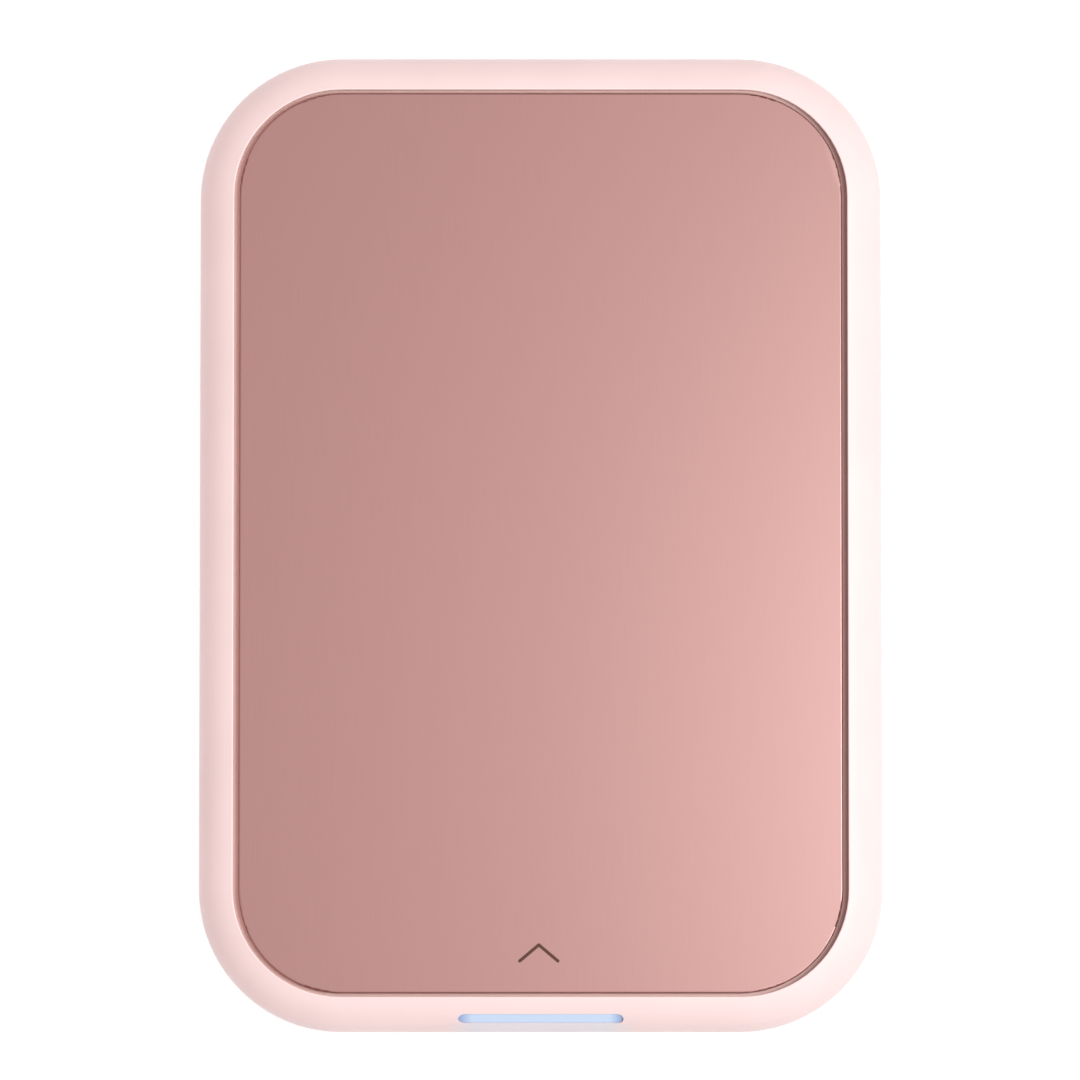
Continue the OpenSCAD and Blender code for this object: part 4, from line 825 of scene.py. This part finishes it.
def magnets(node):
    """Plated discs with rounded edges."""
    shape = Shape()
    for low, high in islands(node):
        r = (high.x - low.x) / 2
        shape.lathe([(r - 0.14, low.z), (r - 0.04, low.z + 0.04), (r, low.z + 0.14), (r, high.z - 0.14),
                     (r - 0.04, high.z - 0.04), (r - 0.14, high.z)], upright_at(low, high), 48)
    put(node + "_detail", shape, "magnet", None, node)


def pickup_tyres():
    """Ribbed tyres of the pickup roller."""
    shape = Shape()
    for low, high in islands("pickup_tyres"):
        shape.tyre(low, high, TYRE_BORE, RIB_DEPTH)
    put("pickup_tyres_detail", shape, "tyre_rubber", None, "pickup_tyres")


springs("head_springs", 0.25, 4, 0, "base", "print_head")
springs("pressure_springs", 0.15, 3, 0.75, "lid_frame", "pressure_plate")
rivets()
magnets("lid_magnets")
magnets("catch_magnets")
pickup_tyres()

# ---------- wires, ribbon, contacts ----------

# Each wire of a node: its radius, then the points that it runs through
WIRES = {
    "motor_leads": (0.35, [
        [(-5.65, -27, 3.8), (-1.65, -27, 3.2), (22.6, -27, 3.2), (24.6, -25, 3.2), (24.6, 30.8, 3.2),
         (20.6, 33.2, 5.4), (19, 34.65, 5.6)],
        [(-5.65, -27, 8.6), (-1.65, -27, 4.1), (22.6, -27, 4.1), (24.6, -25, 4.1), (24.6, 30.8, 4.1),
         (20.2, 33.2, 6.3), (17.2, 34.65, 6.2)],
    ]),
    "battery_leads": (0.35, [
        [(-12.4, 29.02, 5.6), (-12.4, 30.52, 5.6), (-12.4, 34.85, 5.8)],
        [(-13.8, 29.02, 5.6), (-13.8, 30.52, 5.6), (-13.8, 34.85, 5.8)],
    ]),
    "signal_leads": (0.25, [
        [(9.3, -55.65, 13.3), (14.05, -57.85, 13.3), (24.5, -57.85, 13.3), (29.2, -55.25, 13.3),
         (29.2, -52.85, 8.5), (29.2, 47.8, 8.5), (27.8, 49, 6.2), (23.45, 49, 5.8)],
        [(15.85, -21, 9.4), (24, -21, 9.4), (24.5, -20, 9.4), (24.5, 32.2, 9.4), (16, 34.65, 6.4)],
    ]),
}
IN_XZ = Matrix(((1, 0, 0, 0), (0, 0, 1, 0), (0, 1, 0, 0), (0, 0, 0, 1)))  # outline in XZ, extruded along Y
IN_YZ = Matrix(((0, 0, 1, 0), (1, 0, 0, 0), (0, 1, 0, 0), (0, 0, 0, 1)))  # outline in YZ, extruded along X
QUARTER = [math.radians(90 * k / BEND_STEPS) for k in range(BEND_STEPS + 1)]
RIBBON_W = 5.2
RIBBON_T = 0.2
TOP_BEND = 1.2  # radius at the top of the side
FOOT_BEND = 0.9  # radius where the ribbon turns onto the board
TAIL_X = 23.2  # where the ribbon ends on the board
CONTACT_PITCH = 0.6
CONTACT_W = 0.32
CONTACT_T = 0.06


def wires(node):
    """The wires of a node, with curves for corners."""
    radius, paths = WIRES[node]
    shape = Shape()
    for path in paths:
        shape.sweep(bent(path), radius, 12)
    put(node + "_detail", shape, SLOTS[node], None, node)


def ribbon():
    """Flat cable: over the head, down the side, folded along the case and flat onto the board."""
    low, high = cad_box("head_ribbon")
    near, far = low.y, low.y + RIBBON_W
    fold = low.z + RIBBON_W
    shape = Shape()
    corner = [Vector((high.x - TOP_BEND * (1 - math.sin(a)), high.z - TOP_BEND * (1 - math.cos(a))))
              for a in QUARTER]
    over = [Vector((low.x, high.z))] + corner + [Vector((high.x, fold + 0.1))]
    shape.prism(strip(over, -RIBBON_T), near, far, IN_XZ)
    run = [(near, fold), (near, fold + 0.2), (far, fold + 0.2), (far, fold), (high.y, fold),
           (high.y, low.z + FOOT_BEND), (high.y - RIBBON_W, low.z + FOOT_BEND), (high.y - RIBBON_W, low.z),
           (far, low.z)]
    shape.prism(run, high.x - RIBBON_T, high.x, IN_YZ)
    foot = [Vector((high.x - FOOT_BEND * (1 - math.cos(a)), low.z + FOOT_BEND * (1 - math.sin(a))))
            for a in QUARTER]
    tail = [Vector((high.x, low.z + FOOT_BEND + 0.1))] + foot + [Vector((TAIL_X, low.z))]
    shape.prism(strip(tail, -RIBBON_T), high.y - RIBBON_W, high.y, IN_XZ)
    put("head_ribbon_detail", shape, "ribbon_film", None, "head_ribbon")


def usb_contacts():
    """Two rows of six contacts inside the charging socket."""
    low, high = cad_box("usb_port")
    middle = (low + high) / 2
    shape = Shape()
    for k in range(6):
        x = middle.x + (k - 2.5) * CONTACT_PITCH
        for side in (-1, 1):
            z = middle.z + 0.3 * side
            shape.slab((x - CONTACT_W / 2, high.y - 2.6, z - CONTACT_T / 2),
                       (x + CONTACT_W / 2, high.y - 0.3, z + CONTACT_T / 2), 0.02)
    put("usb_contacts_detail", shape, "pinion_brass", body_of(nodes["usb_port"])[0])


for node in WIRES:
    wires(node)
ribbon()
usb_contacts()

# ---------- motor, lamps, circuit board ----------

MOTOR_SHOULDER = 0.8  # the can's end face lies this far inside the motor's box
CAP_PROFILE = [(1.25, 0), (3.5, 0), (3.5, 0.12), (3.3, 0.26), (1.25, 0.26)]  # radius and height over the face
TERMINAL_RISE = 2.4  # from the shaft's axis to each terminal


def motor_end():
    """End cap and terminals of the motor, on the face that its leads start from."""
    low, high = cad_box("drive_motor")
    middle = (low + high) / 2
    face = high.x - MOTOR_SHOULDER
    cap = Shape()
    cap.turned(CAP_PROFILE, Matrix.Translation((face, middle.y, middle.z)) @ ALONG_X)
    put("motor_cap_detail", cap, "chip_black", "base")
    tabs = Shape()
    for side in (-1, 1):
        z = middle.z + TERMINAL_RISE * side
        tabs.slab((face + 0.2, middle.y - 0.6, z - 0.12), (face + 0.75, middle.y + 0.6, z + 0.12), 0.04)
    put("motor_terminals_detail", tabs, "pinion_brass", "base")


def lamps():
    """Lamps with a low round lens on top."""
    shape = Shape()
    for low, high in islands("status_leds"):
        shape.slab(low, (high.x, high.y, high.z - 0.1), 0.05)
        lens = [(0.5, high.z - 0.12), (0.46, high.z - 0.05), (0.3, high.z), (0.1, high.z)]
        shape.lathe(lens, upright_at(low, high), 24)
    put("status_leds_detail", shape, "lamp", None, "status_leds")


CAN_R = 1.5
CAN_PROFILE = [(1.2, 0.3), (CAN_R, 0.45), (CAN_R, 0.7), (1.38, 0.85), (CAN_R, 1), (CAN_R, 2.4), (1.3, 2.6),
               (1.0, 2.5)]
CAN_FOOT_T = 0.3
TALL = 2.5  # anything on the board over this height is a can
LONG_CHIP = 5  # a low chip over this length has leads
LEAD_PITCH = 0.8
LEAD_W = 0.3
LEAD_REACH = 0.7
SMALL_CHIPS = 9
SMALL_CHIP_START = Vector((-2.7, 15.3))  # X, and Y from the board's front edge
SMALL_CHIP_PITCH = 1.05


def can_capacitor(cases, metal, low, high):
    """Aluminium can with a groove above its square foot."""
    middle = (low + high) / 2
    metal.lathe(CAN_PROFILE, Matrix.Translation((middle.x, middle.y, low.z)), 32)
    cases.slab((middle.x - CAN_R, middle.y - CAN_R, low.z),
               (middle.x + CAN_R, middle.y + CAN_R, low.z + CAN_FOOT_T), 0.05)


def chip_leads(metal, low, high):
    """Leads along the two long sides of a chip."""
    middle = (low + high) / 2
    count = int(high.y - low.y)
    for k in range(count):
        y = middle.y + (k - (count - 1) / 2) * LEAD_PITCH
        for side, edge in ((-1, low.x), (1, high.x)):
            x0, x1 = sorted((edge - side * 0.05, edge + side * LEAD_REACH))
            metal.slab((x0, y - LEAD_W / 2, low.z), (x1, y + LEAD_W / 2, low.z + 0.18), 0.03, segments=1)


def small_chips(cases, metal):
    """Row of small two-ended chips on the board."""
    low, high = cad_box("main_board")
    y, z = low.y + SMALL_CHIP_START.y, high.z
    for k in range(SMALL_CHIPS):
        x = SMALL_CHIP_START.x + SMALL_CHIP_PITCH * k
        cases.slab((x - 0.28, y - 0.3, z), (x + 0.28, y + 0.3, z + 0.36), 0.03, segments=1)
        for end in (y - 0.4, y + 0.4):
            metal.slab((x - 0.3, end - 0.12, z), (x + 0.3, end + 0.12, z + 0.38), 0.04, segments=1)


def board_parts():
    """Chips with bevelled cases and leads, can capacitors, and a row of small chips."""
    cases, metal = Shape(), Shape()
    for low, high in islands("board_chips"):
        size = high - low
        if size.z > TALL:
            can_capacitor(cases, metal, low, high)
            continue
        cases.slab(low, high, 0.15)
        if size.y > LONG_CHIP and size.z < 1:
            chip_leads(metal, low, high)
    small_chips(cases, metal)
    put("board_chips_detail", cases, "chip_black", None, "board_chips")
    put("board_metal_detail", metal, "shell_steel", "base")


def battery_tape():
    """Amber tape over the battery's terminal end."""
    low, high = cad_box("battery")
    tape = Shape()
    tape.slab((low.x + 2, high.y - 3, high.z - 0.1), (high.x - 2, high.y - 0.1, high.z + 0.04), 0.04)
    put("battery_tape_detail", tape, "tape_amber", "base")


motor_end()
lamps()
board_parts()
battery_tape()

# ---------- studio ----------

WORLD_FILL = 0.76  # light that the world gives; it shows at a strength of 1
FLOOR_SIZE = 8
FLOOR_GREY = 0.7
FLOOR_LIFT = 0.58  # brings the lit floor up to white
KEY_PLACE = (0.18, -0.02, 0.36)
KEY_SIZE = 0.14
KEY_WATTS = 0.9
KEY_COLOUR = (0.78, 1, 1)


def seen_share(tree):
    """1 where a camera, glossy or transmitted ray looks, and 0 for the light that it gives."""
    path = tree.nodes.new("ShaderNodeLightPath")
    total = path.outputs["Is Camera Ray"]
    for kind in ("Is Glossy Ray", "Is Transmission Ray"):
        larger = tree.nodes.new("ShaderNodeMath")
        larger.operation = "MAXIMUM"
        tree.links.new(total, larger.inputs[0])
        tree.links.new(path.outputs[kind], larger.inputs[1])
        total = larger.outputs[0]
    return total


def make_world():
    world = bpy.data.worlds.new("studio")
    bpy.context.scene.world = world
    world.use_nodes = True
    tree = world.node_tree
    background = tree.nodes["Background"]
    background.inputs["Color"].default_value = (1, 1, 1, 1)
    strength = tree.nodes.new("ShaderNodeMapRange")
    strength.inputs["To Min"].default_value = WORLD_FILL
    strength.inputs["To Max"].default_value = 1.0
    tree.links.new(seen_share(tree), strength.inputs["Value"])
    tree.links.new(strength.outputs["Result"], background.inputs["Strength"])


def make_floor():
    """Pale floor: it shows white to the camera, and keeps the object's shadow."""
    bpy.ops.mesh.primitive_plane_add(size=FLOOR_SIZE)
    floor = bpy.context.object
    floor.name = "floor"
    material = bpy.data.materials.new("floor")
    material.use_nodes = True
    tree = material.node_tree
    shader = tree.nodes["Principled BSDF"]
    shader.inputs["Base Color"].default_value = (FLOOR_GREY, FLOOR_GREY, FLOOR_GREY, 1)
    shader.inputs["Roughness"].default_value = 0.9
    shader.inputs["Emission Color"].default_value = (1, 1, 1, 1)
    lift = tree.nodes.new("ShaderNodeMath")
    lift.operation = "MULTIPLY"
    lift.inputs[1].default_value = FLOOR_LIFT
    tree.links.new(seen_share(tree), lift.inputs[0])
    tree.links.new(lift.outputs[0], shader.inputs["Emission Strength"])
    floor.data.materials.append(material)


def make_key():
    """The one lamp: a soft box from the right, aimed at the middle of the case."""
    data = bpy.data.lights.new("key", "AREA")
    data.shape = "SQUARE"
    data.size = KEY_SIZE
    data.energy = KEY_WATTS
    data.color = KEY_COLOUR
    lamp = bpy.data.objects.new("key", data)
    bpy.context.scene.collection.objects.link(lamp)
    lamp.location = KEY_PLACE
    aim = Vector((0, 0, 0.02)) - Vector(KEY_PLACE)
    lamp.rotation_euler = aim.to_track_quat("-Z", "Y").to_euler()


bpy.context.scene.view_settings.view_transform = "Standard"
make_world()
make_floor()
make_key()
